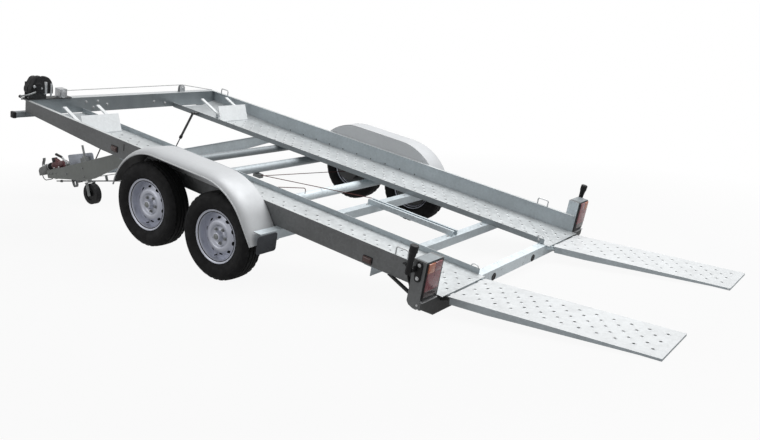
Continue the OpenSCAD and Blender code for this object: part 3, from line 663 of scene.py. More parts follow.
class TRAILER_OT_perforations(bpy.types.Operator):
    """Raised grip holes in the wheel tracks and ramps, and drain holes along the walls, each closed by a
    dark disc of painted shade
    """

    bl_idname = "trailer.perforations"
    bl_label = "Grip holes"

    def execute(self, context):
        sizes = context.scene.trailer_sizes
        r = sizes.hole_radius * 1000
        pitch = sizes.hole_pitch * 1000
        gap = sizes.line_gap * 1000
        collar = [(r + 7, -0.2), (r + 4.5, 1.7), (r + 1.6, 2.4), (r + 0.3, 1.9), (r, 0.5)]

        def lines(shape, start, end, middle, height, step):
            """Five staggered lines of holes; step says which way X runs."""
            for line in range(-2, 3):
                x = start + (pitch / 2 if line % 2 else 0)
                while x <= end:
                    place = Matrix.Translation((step * x, middle + line * gap, height))
                    shape.turned(place, collar, 16, 0, caps=False)
                    # Dark disc closing the hole, painted shade.
                    shape.turned(place, [(r, 0.5), (0.3, 0.4)], 16, 1)
                    x += pitch

        for side, sign in SIDES:
            floor = Shape()
            lines(floor, *TRACK_HOLES, sign * TRACK_Y, 0, 1)
            for x in DRAINS:
                drain = facing((x, sign * (HALF_WIDTH - 4), DRAIN_Z), (0, -sign, 0))
                floor.turned(drain, [(7.5, -0.2), (7.2, 0.5), (6.2, 0.6)], 14, 0, caps=False)
                # Dark disc closing the drain, painted shade.
                floor.turned(drain, [(6.2, 0.6), (0.3, 0.3)], 14, 1)
            floor.piece(f"track_holes_{side}", "bed", ["track_floor", "hole_painted_shade"], BED)
            tread = Shape()
            lines(tread, *RAMP_HOLES, 0, RAMP_TOP, -1)
            stud = facing((12 - RAMP_LEN, -sign * RAMP_HALF, 7), (0, -sign, 0))
            tread.turned(stud, [(5, -1), (5, 9), (4, 10.5), (0.5, 11)], 14, 2)
            tread.piece(f"ramp_holes_{side}", f"ramp_{side}", ["ramp_tread", "hole_painted_shade", "zinc"],
                        ramp_place(side))
        return {"FINISHED"}


def fender_stations():
    """Stations along the fender: middle of the turn, radius, and outward direction."""
    front = FRONT_X - 99 + FENDER_SQUAT
    rear = REAR_X + 129
    stations = []
    for i in range(21):
        a = math.radians(FENDER_TIP + (90 - FENDER_TIP) * i / 20)
        stations.append((front, FENDER_Z + FENDER_SQUAT, FENDER_R - FENDER_SQUAT, a))
    for i in range(6):
        stations.append((front + (rear - front) * (i + 1) / 7, FENDER_Z, FENDER_R, math.pi / 2))
    for i in range(19):
        a = math.radians(90 + (90 - FENDER_FLARE) * i / 18)
        stations.append((rear, FENDER_Z, FENDER_R, a))
    flare = math.radians(FENDER_FLARE)
    for run in FENDER_TAIL:
        x = rear - run * math.sin(flare)
        z = FENDER_Z - run * math.cos(flare)
        stations.append((x, z, FENDER_R, math.pi - flare))
    return stations


class TRAILER_OT_fenders(bpy.types.Operator):
    """Round shouldered fenders with a rolled edge, an inner panel, a flap, and an underside darkened as
    painted shade
    """

    bl_idname = "trailer.fenders"
    bl_label = "Fenders"

    def execute(self, context):
        sizes = context.scene.trailer_sizes
        wide = sizes.shoulder * 1000
        bead = sizes.bead * 1000
        flat = FENDER_OUT - wide
        top = flat - FENDER_IN
        outer = [(FENDER_IN, -3.5), (FENDER_IN + 0.3 * top, -1), (FENDER_IN + 0.75 * top, 0)]
        for i in range(13):
            a = math.radians(90 - 90 * i / 12)
            outer.append((flat + wide * math.cos(a), -FENDER_DROP + FENDER_DROP * math.sin(a)))
        edge = -FENDER_DROP - FENDER_SHEET
        rolled = []
        for i in range(9):
            a = math.radians(100 - 250 * i / 8)
            rolled.append((FENDER_OUT + 0.5 + bead * math.cos(a), edge + bead + bead * math.sin(a)))
        inner = [(min(y, FENDER_OUT - FENDER_SHEET), d - FENDER_SHEET) for y, d in outer[:-1]]
        inner.append((FENDER_OUT - 3.5, edge))
        profile = outer[:-1] + rolled + list(reversed(inner))
        hidden = len(outer) - 1 + len(rolled)
        for side, sign in SIDES:
            rings = []
            for cx, cz, r, a in fender_stations():
                ring = []
                for y, d in profile:
                    ring.append((cx + (r + d) * math.cos(a), sign * y, cz + (r + d) * math.sin(a)))
                rings.append(ring)
            shape = Shape()
            shape.loft(rings, 0)
            count = len(profile)
            # Faces on the inner side of the profile take the nearly black underside, painted shade.
            for k in range(len(shape.faces) - 2):
                if k % count >= hidden:
                    shape.paints[k] = 1
            arch = []
            for cx, cz, r, a in fender_stations():
                point = (cx + (r - 6) * math.cos(a), cz + (r - 6) * math.sin(a))
                if point[1] > SKIRT_Z:
                    arch.append(point)
            arch = [(arch[0][0] + 4, SKIRT_Z)] + arch + [(arch[-1][0] - 4, SKIRT_Z)]
            shape.prism(arch, sign * (HALF_WIDTH + 0.5), sign * FENDER_IN, "y", 0)
            edges = sorted((sign * (HALF_WIDTH + 58), sign * (FENDER_OUT - 2)))
            flap = rounded(edges[0], -140, edges[1], -14, 18)
            shape.prism(flap, FLAP_X, FLAP_X - 6, "x", 2, 1.5)
            made = shape.piece(f"fender_shell_{side}", "bed",
                               ["fender_paint", "fender_underside_painted_shade", "flap_grey"], BED, 50)
            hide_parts(f"fender_{side}")
        return {"FINISHED"}


# Wheel disc, as pairs of radius and height over the wheel's middle plane
HUB_FRONT = [(0.5, 58.5), (12, 58.5), (17, 57.5), (20, 55.5), (28.5, 54.5), (30, 52.5), (31, 44),
             (33, 39), (34.5, 27), (38, 22), (44, 19), (58, 18.5), (62, 19.5), (69, 23.5), (73, 30),
             (79, 34.5), (86, 36), (94, 35.6), (101, 33.8), (107, 30.5), (112, 26.5)]
HUB_BACK = [(0.5, 53.2), (26.6, 53.2), (26.6, 8), (62, 8), (76, 22), (96, 26), (109, 23)]
RIM_FRONT = [(134, 11), (138, 9.5), (144, 8), (151, 6), (157, 4), (158.6, 8), (159, 22), (159.8, 40),
             (162, 51), (166.5, 56), (172, 58), (178, 60.5), (180.5, 63), (182, 62), (182.4, 58), (176, 55)]
RIM_BACK = [(131, 7), (150, -1), (157, -3), (159, -50), (176, -58), (182, -62), (182, -58), (164, -54),
            (164, 50), (176, 55)]
SLOPE_FRONT = ((112, 26.5), (134, 11))
SLOPE_BACK = ((109, 23), (131, 7))
SLOPE_R = 122
SLOPE_RUN = 27
VENT_LONG = 15
VENT_WIDE = 10
DRUM = [(64, -5), (138, -5), (149, -9), (152, -16), (152, -39), (64, -39), (64, -5)]
BOLT_R = 51
BOLT_SEAT = 18.5
VALVE_R = 148
VALVE_TURN = 1.2

# Half of the tyre's section, as pairs of radius and distance from the middle plane
TYRE_WALL = [(164, 57), (185, 57), (188, 62), (193, 67), (199, 69), (201, 71), (206, 72.5), (219, 79),
             (234, 82), (246, 82.5), (256, 81), (258, 82), (262, 81), (272, 76), (282, 69), (289, 62)]
TREAD_Y = (56, 47, 46, 39, 38, 17, 16, 9, 8)
GROOVE_Y = (39, 46, 9, 16)
TREAD_CROWN = 3.5
SIPE_DEPTH = 4.5
TYRE_SIDES = 144


class TRAILER_OT_wheels(bpy.types.Operator):
    """Tyres with tread, and vented wheel discs with bolts and hub caps"""

    bl_idname = "trailer.wheels"
    bl_label = "Wheels"

    def execute(self, context):
        sizes = context.scene.trailer_sizes
        rings = self.tyre_rings(sizes.groove * 1000)
        for name, sign in WHEELS:
            place = joint_place(f"wheel_spin_{name}") @ MM
            body = f"wheel_{name}"
            tyre = Shape()
            tyre.loft(rings + [rings[0]], 0, caps=False)
            made = tyre.piece(f"tread_tyre_{name}", body, ["tyre_rubber"], place, 30)
            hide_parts(f"tyre_{name}")
            disc = Shape()
            out = facing((0, 0, 0), (0, sign, 0))
            self.disc(disc, out, sizes.vents)
            self.fixings(disc, out, sizes.wheel_bolts)
            finishes = ["wheel_silver", "dull_zinc", "black_plastic", "axle_steel_painted_shade"]
            made = disc.piece(f"wheel_disc_{name}", body, finishes, place)
            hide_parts(f"rim_{name}")
        return {"FINISHED"}

    def tyre_rings(self, groove):
        """Sections around the tyre, with grooves in the tread and sipes across its shoulders."""
        half = list(TYRE_WALL)
        for y in TREAD_Y:
            crown = TREAD_CROWN * (y / TREAD_Y[0]) ** 2
            half.append((TYRE_R - crown - (groove if y in GROOVE_Y else 0), y))
        profile = [(r, -y) for r, y in half] + [(r, y) for r, y in reversed(half)]
        first = len(TYRE_WALL)
        shoulder = {first - 1, first, first + 1}
        shoulder |= {len(profile) - 1 - i for i in shoulder}
        rings = []
        for i in range(TYRE_SIDES):
            a = 2 * math.pi * i / TYRE_SIDES
            ring = []
            for k, (r, y) in enumerate(profile):
                sipe = SIPE_DEPTH if k in shoulder and i % 4 == (0 if y > 0 else 2) else 0
                ring.append(((r - sipe) * math.cos(a), y, (r - sipe) * math.sin(a)))
            rings.append(ring)
        return rings

    def disc(self, shape, out, vents):
        """Pressed disc and rim, with oval vents through its slope."""
        per = 8
        sides = vents * per
        shape.turned(out, list(reversed(HUB_BACK)) + HUB_FRONT, sides, 0, caps=False)
        shape.turned(out, RIM_FRONT, sides, 0, caps=False)
        shape.turned(out, RIM_BACK, sides, 0, caps=False)

        def on_slope(points, slope):
            """Pairs of angle and share, put on a cone between two radii."""
            low, high = slope
            placed = []
            for a, s in points:
                r = low[0] + (high[0] - low[0]) * s
                height = low[1] + (high[1] - low[1]) * s
                placed.append(out @ Vector((r * math.cos(a), r * math.sin(a), height)))
            return placed

        span = 2 * math.pi / sides
        for i in range(vents):
            first = i * per * span
            middle = first + per * span / 2
            edge = [(first + k * span, 0.0) for k in range(per + 1)]
            edge += [(first + k * span, 1.0) for k in range(per, -1, -1)]
            oval = []
            for a, s in edge:
                t = math.atan2((s - 0.5) * SLOPE_RUN, (a - middle) * SLOPE_R)
                around = middle + VENT_LONG / SLOPE_R * math.cos(t)
                oval.append((around, 0.5 + VENT_WIDE / SLOPE_RUN * math.sin(t)))
            front = on_slope(oval, SLOPE_FRONT)
            back = on_slope(oval, SLOPE_BACK)
            shape.loft([on_slope(edge, SLOPE_FRONT), front], 0, caps=False)
            # Vent walls in black plastic: painted shade inside the vents.
            shape.loft([front, back], 2, caps=False)
            shape.loft([back, on_slope(edge, SLOPE_BACK)], 0, caps=False)

    def fixings(self, shape, out, count):
        """Wheel bolts around the hub, the valve, the hub cap, and the brake drum behind the disc."""
        # Brake drum in the dark axle copy, painted shade.
        shape.turned(out, DRUM, 48, 3, caps=False)
        for i in range(count):
            a = 2 * math.pi * i / count + 0.3
            head = out @ Matrix.Translation((BOLT_R * math.cos(a), BOLT_R * math.sin(a), BOLT_SEAT))
            shape.turned(head, [(11.5, -1), (11.5, 2.5), (9.5, 4)], 18, 1)
            shape.turned(head, [(8.2, 3.5), (8.2, 13), (7, 15.5), (3, 16.5)], 6, 1)
        foot = (VALVE_R * math.cos(VALVE_TURN), VALVE_R * math.sin(VALVE_TURN), 6)
        valve = out @ Matrix.Translation(foot)
        shape.turned(valve, [(6, 0), (4, 6), (3, 14), (4, 15), (4, 20), (2, 21)], 10, 2)
        shape.turned(out, [(20, 55.3), (19, 58.4), (16, 60.6), (9, 61.8), (0.6, 62)], 24, 1)


class TRAILER_OT_lamps(bpy.types.Operator):
    """Tail lamps in black surrounds"""

    bl_idname = "trailer.lamps"
    bl_label = "Lamps"

    def execute(self, context):
        for side, sign in SIDES:
            y0, y1 = HALF_WIDTH + 8, LAMP_OUT - 5
            z0, z1 = LAMP_LOW, LAMP_HIGH
            shape = Shape()

            def plate(u0, w0, u1, w1, back, front, paint, r):
                """Plate across the lamp with a softened front edge."""
                rim = rounded(u0, w0, u1, w1, r)
                rings = []
                for grow, x in ((0, back), (0, front + 3), (-1.2, front + 1), (-4, front)):
                    rings.append([(x, sign * y, z) for y, z in scaled(rim, grow)])
                shape.loft(rings, paint)

            plate(y0, z0, y1, z1, LAMP_X + 2, 33, 0, 8)
            inner, split, outer = y0 + 22, y0 + 96, y1 - 9
            low, high, top = z0 + 54, z1 - 64, z1 - 5
            seat, face = 36, 26
            # Lower band of the lens darkened as painted shade.
            plate(inner, z0 + 18, outer, low, seat, face + 1.5, 3, 4)
            plate(inner, low + 0.5, outer, high, seat, face, 1, 3)
            plate(inner, high + 0.5, split, top, seat, face, 1, 3)
            plate(split + 0.5, high + 0.5, outer, top, seat, face, 2, 3)
            for z in (low + 24, high - 18):
                screw = facing((face, sign * (y0 + 92), z), (-1, 0, 0))
                shape.turned(screw, [(4.5, -1), (4.5, 0.6), (3.2, 1.1), (0.4, 1.2)], 12, 0)
            made = shape.piece(f"tail_lamp_{side}", "bed",
                               ["black_plastic", "lens_red", "lens_amber", "lens_red_painted_shade"], BED)
            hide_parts(f"lamp_lens_{side}")
            ledge = Shape()
            ends = sorted((sign * (HALF_WIDTH + 22), sign * (LAMP_OUT - 4)))
            ledge.block((22, ends[0], -4), (LAMP_X, ends[1], 0.5), 0)
            lid = LAMP_HIGH + 3
            # Lid in the darker lip copy, painted shade.
            ledge.block((LAMP_X - 1, ends[0] + 6, lid), (LAMP_X + 80, ends[1] - 6, lid + 2), 1)
            ledge.bolt((LAMP_X + 14, sign * LAMP_OUT, -26), (0, sign, 0), 5, 0)
            corner = [(27.5, 10), (28.5, 6), (32, 2.5), (37, 0.5), (42, 0), (42, 4), (36, 6), (32, 10)]
            # Corner piece in the darkened outer wall copy, painted shade.
            ledge.prism([(x, sign * (LAMP_OUT - inset)) for x, inset in corner], -50, -3, "z", 2)
            finishes = ["zinc", "lip_steel_painted_shade", "wall_outside_painted_shade"]
            ledge.piece(f"lamp_ledge_{side}", "bed", finishes, BED)
        return {"FINISHED"}


class TRAILER_OT_levers(bpy.types.Operator):
    """Ramp locking levers on their oval plates, and the strap beside them"""

    bl_idname = "trailer.levers"
    bl_label = "Locking levers"

    def execute(self, context):
        shape = Shape()
        plate_x, half, thick = 81, 21, 8
        reach = 44
        flank = HALF_WIDTH + 9
        for sign in (1, -1):
            y = sign * LAMP_OUT
            plate = rounded(plate_x - half, 110, plate_x + half, 232, 20, 8)
            shape.prism(plate, y, y + sign * thick, "y", 0, 2)
            for z in (132, 212):
                shape.bolt((plate_x, y + sign * thick, z), (0, sign, 0), 7.5, 1)
            pivot = facing((108, y, 178), (0, sign, 0))
            boss = [(19, -0.5), (19, 5), (16, 7), (13, 8), (13, 38), (11, 40), (1, 40.5)]
            shape.turned(pivot, boss, 24, 0)
            foot = Vector((126, y + sign * reach, 152))
            tip = Vector((113, y + sign * reach, 332))
            grip = [(1, -6), (9, -5), (14, -1), (17.2, 6), (18, 18), (17.4, 46), (17, 74), (18.6, 104),
                    (21, 126), (22.5, 134), (25, 138), (25.4, 146), (24.6, 151), (25.4, 156), (25.4, 173),
                    (23.8, 178), (17, 180.5), (1, 181)]
            shape.turned(facing(foot, tip - foot), grip, 28, 0)
            path = [(293, flank, 107), (274, flank, 105), (257, flank, 76), (242, flank, 37),
                    (227, flank, 3), (208, flank, -35)]
            shape.strap(smooth_path(mirrored(path, sign), 4), 17, 9, (0, 1, 0), 0)
        made = shape.piece("ramp_levers", "bed", ["black_plastic", "zinc"], BED)
        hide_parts("lock_levers")
        return {"FINISHED"}


class TRAILER_OT_winch(bpy.types.Operator):
    """Hand winch with its cover, drum and crank, and the pulley's fixings"""

    bl_idname = "trailer.winch"
    bl_label = "Winch"

    def execute(self, context):
        inner = 865
        narrow = 0.82
        cover = [(inner, 185), (866, 220), (868, 250), (872, 278), (880, 300), (890, 316), (905, 326),
                 (922, 329), (940, 328), (954, 324), (965, 318), (978, 302), (994, 276), (1010, 250),
                 (1018, 233), (1021, 218), (1019, 199), (1012, 185)]
        near = [(inner + (y - inner) * narrow, z) for y, z in cover]
        far = [(782, 180), (782, 212), (785, 245), (791, 268), (800, 285), (810, 299), (822, 310),
               (835, 317), (850, 322), (866, 324), (880, 324), (880, 180)]
        shape = Shape()
        face, hub_z = 3981, 251
        shape.prism(near, WINCH_X, face + 4, "x", 0, 6)
        shape.prism(scaled(near, -16), face + 5, face, "x", 0, 3)
        shape.prism(far, WINCH_X, 4004, "x", 0, 6)
        shape.prism([(y, z * 0.9 + 20) for y, z in near], 4031, 4077, "x", 0)
        hub = facing((face, 930, hub_z), (-1, 0, 0))
        shape.turned(hub, [(30, -1), (30, 3), (27, 5), (12, 6), (1, 6)], 28, 0)
        shape.bolt((face - 1, 962, hub_z), (-1, 0, 0), 8, 1)
        shape.bolt((face - 1, 900, 232), (-1, 0, 0), 5, 1)
        shape.prism(rounded(838, 180, 872, 280, 6), 4006, 4000, "x", 1, 1.5)
        shape.prism(rounded(795, 160, 810, 265, 4), 4006, 3999, "x", 1, 1.5)
        drum = facing((4031, 860, 246), (1, 0, 0))
        winding = [(30, 0)]
        for i in range(7):
            winding += [(33, 2 + 6 * i), (36, 5 + 6 * i), (33, 8 + 6 * i)]
        shape.turned(drum, winding + [(30, 46)], 28, 2)
        crank = [(3984, 950, 205), (3982, 990, 192), (3992, 1026, 180), (4022, 1040, 168),
                 (4056, 1030, 156)]
        shape.tube(smooth_path(crank, 5), 7, 12, 3)
        knob = [(7, -1), (12, 1), (13, 6), (12.5, 16), (1, 18)]
        shape.turned(facing(crank[-1], (0.9, -0.3, -0.3)), knob, 18, 0)
        for y in (640, 722, 960):
            shape.bolt((4060, y, 140), (0, 0, 1), 8, 1)
        finishes = ["black_plastic", "zinc", "wire_rope", "dull_zinc"]
        made = shape.piece("hand_winch", "bed", finishes, BED)
        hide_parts("winch_drum")
        pulley = Shape()
        rear, front = 4038, 4070
        pulley.bolt((rear, PULLEY_Y, PULLEY_Z), (-1, 0, 0), 9, 0)
        pulley.bolt((front, PULLEY_Y, PULLEY_Z), (1, 0, 0), 9, 0)
        roller = [(24, 26), (26, 30), (26, 34), (20, 36), (1, 36.5)]
        for z in (176, 164):
            pulley.turned(facing((4041, 682, z), (-1, 0, 0)), roller, 24, 0)
        cheek = [(PULLEY_Y - 30, 132), (PULLEY_Y + 30, 132), (PULLEY_Y + 30, 150)]
        for i in range(13):
            a = math.pi * i / 12
            cheek.append((PULLEY_Y + 29 * math.cos(a), PULLEY_Z - 2 + 28 * math.sin(a)))
        cheek.append((PULLEY_Y - 30, 150))
        pulley.prism(cheek, rear + 5, rear, "x", 0, 1)
        pulley.prism(cheek, front - 5, front, "x", 0, 1)
        sheave = [(20, 0.5), (23, 1.5), (23, 4), (16, 9), (16, 13), (23, 18), (23, 20.5), (20, 21.5)]
        pulley.turned(facing((rear + 5, PULLEY_Y, PULLEY_Z), (1, 0, 0)), sheave, 28, 1)
        made = pulley.piece("pulley_block", "bed", ["zinc", "dull_zinc"], BED)
        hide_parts("cable_pulley")
        return {"FINISHED"}


class TRAILER_OT_coupling(bpy.types.Operator):
    """Overrun device, bellows, coupling handle and handbrake"""

    bl_idname = "trailer.coupling"
    bl_label = "Coupling"

    def execute(self, context):
        casting_shape = Shape()
        body = [(2110, 48), (2222, 48), (2226, 66), (2224, 100), (2212, 116), (2170, 122), (2130, 110),
                (2112, 90)]
        casting_shape.prism(body, -8, 34, "y", 0, 7)
        casting_shape.prism(body, 8, -34, "y", 0, 7)
        barrel = [(27, 0), (36, 2), (38, 6), (38, 22), (36, 26), (36, 150), (39, 156), (39, 186), (36, 190),
                  (27, 190)]
        casting_shape.turned(facing((2050, 0, COUPLING_Z), (1, 0, 0)), barrel, 32, 0)
        tower = [(2140, 108), (2218, 108), (2218, 150), (2208, 158), (2178, 148), (2150, 124)]
        casting_shape.prism(tower, -4, 17, "y", 0, 4)
        casting_shape.prism(tower, 4, -17, "y", 0, 4)
        casting_shape.block((2196, -21, 120), (2240, 21, 166), 1, 6)
        bolt_y = 34.08
        for sign in (1, -1):
            for u in (2126, 2206):
                casting_shape.bolt((u, sign * bolt_y, 62), (0, sign, 0), 7, 2)
        finishes = ["red_casting", "black_plastic", "zinc"]
        made = casting_shape.piece("overrun_casting", "drawbar", finishes, BAR)
        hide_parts("overrun_housing")
        boot = Shape()
        ribs = [(27, 0), (34, 0.5)]
        for i in range(6):
            u = 2 + 12.8 * i
            ribs += [(31, u), (34.5, u + 2.4), (37, u + 5.6)]
            ribs += [(37.4, u + 6.8), (36, u + 8.6), (32.5, u + 11.4)]
        ribs += [(31, 79.5), (27, 80)]
        boot.turned(facing((2240, 0, COUPLING_Z), (1, 0, 0)), ribs, 36, 0)
        clamp = [(37, 0), (38.5, 1), (38.5, 6), (37, 7)]
        boot.turned(facing((2306, 0, COUPLING_Z), (1, 0, 0)), clamp, 36, 1)
        made = boot.piece("overrun_boot", "drawbar", ["bellows_rubber", "zinc"], BAR)
        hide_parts("bellows")
        handle = Shape()
        path = [(2418, 0, 92), (2430, 0, 106), (2424, 0, 126), (2413, 0, 144), (2398, 0, 162),
                (2392, 0, 182)]
        handle.strap(smooth_path(path, 5), 30, 9, (0, 1, 0), 0)
        handle.block((2372, -17, 96), (2424, 17, 108), 0, 4)
        handle.turned(facing((2412, -20, 108), (0, 1, 0)), [(7, 0), (9, 1), (9, 39), (7, 40)], 18, 1)
        made = handle.piece("coupling_lever", "drawbar", ["cast_iron", "zinc"], BAR)
        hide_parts("coupling_handle")
        lever = Shape()
        lever.block((1910, 44, 48.3), (1970, 56, 98), 0, 5)
        pivot, plane = 1940, 62
        boss = [(18, 0), (18, 3), (16, 4), (16, 24), (13, 27), (1, 28)]
        lever.turned(facing((pivot, 43, 78), (0, 1, 0)), boss, 24, 0)
        path = [(1912, plane, 74), (pivot, plane, 90), (1972, plane, 120), (2008, plane, 156)]
        lever.strap(path, 9, 22, (0, 1, 0), 1)
        grip = [(9, -2), (12, 0), (13, 6), (12, 18), (13, 30), (12, 42), (13.2, 54), (12.4, 68), (13.6, 84),
                (12, 92), (1, 95)]
        lever.turned(facing((2000, plane, 150), (0.9, 0, 0.42)), grip, 20, 2)
        teeth = []
        for i in range(13):
            a = math.radians(20 + 100 * i / 12)
            r = 46 if i % 2 else 41
            teeth.append((pivot + r * math.cos(a), 60 + r * math.sin(a)))
        lever.prism([(1935, 62)] + teeth + [(1925, 62)], 57, 52, "y", 1)
        made = lever.piece("parking_lever", "drawbar", ["dull_zinc", "zinc", "black_plastic"], BAR)
        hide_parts("handbrake")
        return {"FINISHED"}


# Bolts on the webs of the drawbar's rails, along and up
RAIL_BOLTS = ((2180, 10), (2080, 8), (1960, 4), (1640, -30), (1180, -10), (1180, -90), (230, -10))


class TRAILER_OT_drawbar_trim(bpy.types.Operator):
    """Bolts, brake rod fittings and hoop on the drawbar, and the strut ends"""

    bl_idname = "trailer.drawbar_trim"
    bl_label = "Drawbar trim"

    def execute(self, context):
        lean = math.atan((RAIL_SPREAD - RAIL_NOSE) / RAIL_RUN)
        web = (math.sin(lean), math.cos(lean), 0)

        def web_y(u):
            """Distance of a rail's web from the middle plane."""
            return RAIL_SPREAD - u * math.tan(lean)

        trim = Shape()
        for u, v in RAIL_BOLTS:
            for sign in (1, -1):
                trim.bolt((u, sign * web_y(u), v), (web[0], sign * web[1], 0), 8, 0)
        rod_y = -26
        hoop = [(2034, rod_y, -40), (2032, rod_y, -112), (2024, rod_y, -146), (2004, rod_y, -155),
                (1984, rod_y, -146), (1976, rod_y, -112), (1975, rod_y, -40)]
        trim.strap(smooth_path(hoop, 4), 28, 5, (0, 1, 0), 1)
        rod_end = facing((2220, rod_y, -75), (1, 0, 0.1))
        trim.turned(rod_end, [(6, -14), (10, -12), (13, -6), (13, 10), (10, 16), (6, 18)], 18, 1)
        trim.block((1896, -42, -120), (1934, -10, -92), 1, 5)
        for u in (1910, 1650):
            trim.bolt((u, 0, RAIL_TOP + 6), (0, 0, 1), 8, 0)
        trim.piece("drawbar_fixings", "drawbar", ["dull_zinc", "cast_iron"], BAR)
        for side, sign in SIDES:
            x, y, z = STRUT_PIN
            along = BED @ Matrix.Translation((x, sign * y, z)) @ turn_y(STRUT_LEAN)
            collar = Shape()
            gland = [(6, 0), (11, 0), (14, 2), (15, 8), (15, 26), (13, 33), (8, 36.5), (6, 37), (6, 0)]
            collar.turned(facing((BARREL_LEN - 34, 0, 0), (1, 0, 0)), gland, 20, 0, caps=False)
            collar.piece(f"strut_collar_{side}", f"strut_barrel_{side}", ["black_plastic"], along)
            eye = Shape()
            neck = [(5, 0), (9, 2), (11, 6), (11, 19)]
            eye.turned(facing((STRUT_LEN - 30, 0, 0), (1, 0, 0)), neck, 20, 0)
            eye.piece(f"strut_eye_{side}", f"strut_rod_{side}", ["black_plastic"], along)
        return {"FINISHED"}


# Bolts across and up the front beam, bolts along the tracks, and the rear beam's plugs
BEAM_BOLTS = ((459, 92), (343, 93), (386, 41), (-257, 61), (250, 61), (-386, 41))
TRACK_BOLTS = (300, 900, 1420, 2500, 2700, 3300, 3800)
PLUG_Y = 297


class TRAILER_OT_bed_trim(bpy.types.Operator):
    """Beam bolts, rear plugs, ramp hooks, marker frames and arm ends"""

    bl_idname = "trailer.bed_trim"
    bl_label = "Bed trim"

    def execute(self, context):
        trim = Shape()
        for y, z in BEAM_BOLTS:
            trim.bolt((BEAM_X, y, z), (-1, 0, 0), 8, 0)
        for y in (-PLUG_Y, PLUG_Y):
            plug = facing((28, y, -58), (-1, 0, 0))
            trim.turned(plug, [(27, -1), (27, 2), (24, 4), (22, 2.5), (1, 2)], 28, 1)
        edge = LIP_Y + 4
        for sign in (1, -1):
            hook = [(112, edge, 36), (104, edge, 48), (90, edge, 55), (72, edge, 54), (60, edge, 46),
                    (58, edge, 34), (66, edge, 28)]
            trim.tube(smooth_path(mirrored(hook, sign), 5), 3.2, 10, 0)
            trim.bolt((92, sign * LIP_Y, 22), (0, -sign, 0), 6, 0)
            wall = sign * HALF_WIDTH
            for x, z in MARKERS:
                y = sign * (HALF_WIDTH + 8)
                surround = rounded(x - 36, z - 23, x + 36, z + 23, 6)
                trim.prism(surround, wall, y - sign * 2, "y", 1, 1.5)
                reflector = rounded(x - 28, z - 15, x + 28, z + 15, 5)
                trim.prism(reflector, y - sign, y + sign * 5, "y", 2, 4)
            slit = rounded(2816, 59, 2824, 111, 3.5)
            trim.prism(slit, wall, sign * (HALF_WIDTH + 1.2), "y", 1, 0.5)
            ends = sorted((sign * (HALF_WIDTH + 74), sign * (HALF_WIDTH + 101)))
            trim.block((BEAM_X + 1, ends[0], -11), (BEAM_X + 47, ends[1], 39), 1, 6)
            for x in (4034, 4058):
                trim.bolt((x, sign * 930, 36), (0, 0, 1), 7, 0)
            for x in TRACK_BOLTS:
                y = LIP_Y + 14 if x < 3000 else LIP_Y + 20
                trim.bolt((x, sign * y, -1), (0, 0, 1), 5, 0)
            for x in CROSS_X:
                for y in (LIP_Y - 60, 60):
                    trim.bolt((x + 30, sign * y, -4), (0, 0, 1), 7, 0)
            for hub in (FRONT_X, REAR_X):
                for k in (-30, 30):
                    trim.bolt((hub + ARM_REACH + k, sign * (HALF_WIDTH - 85), -44), (0, 0, 1), 8, 0)
        trim.piece("bed_fixings", "bed", ["zinc", "black_plastic", "lens_marker"], BED)
        return {"FINISHED"}


# Lights, each with its place, target, size and power
LIGHTS = (
    ("overhead", (-2.0, -1.8, 5.9), (-0.1, 0.0, 0.4), 6.0, 410),
    ("side_fill", (2.6, 6.4, 2.6), (0.6, 0.8, 0.4), 4.0, 50),
)

# Camera: focal length and sensor in millimetres, shift, and its place and directions in the bed's frame
EYE_LENS = 38.5
EYE_SENSOR = 36
EYE_SHIFT = (-0.0658, 0.0303)
EYE_PLACE = (-1984.3, 4852.1, 1841.5)
EYE_RIGHT = (-0.82564, -0.53304, 0.18490)
EYE_DOWN = (-0.33045, 0.19125, -0.92424)
EYE_AHEAD = (0.45729, -0.82419, -0.33405)


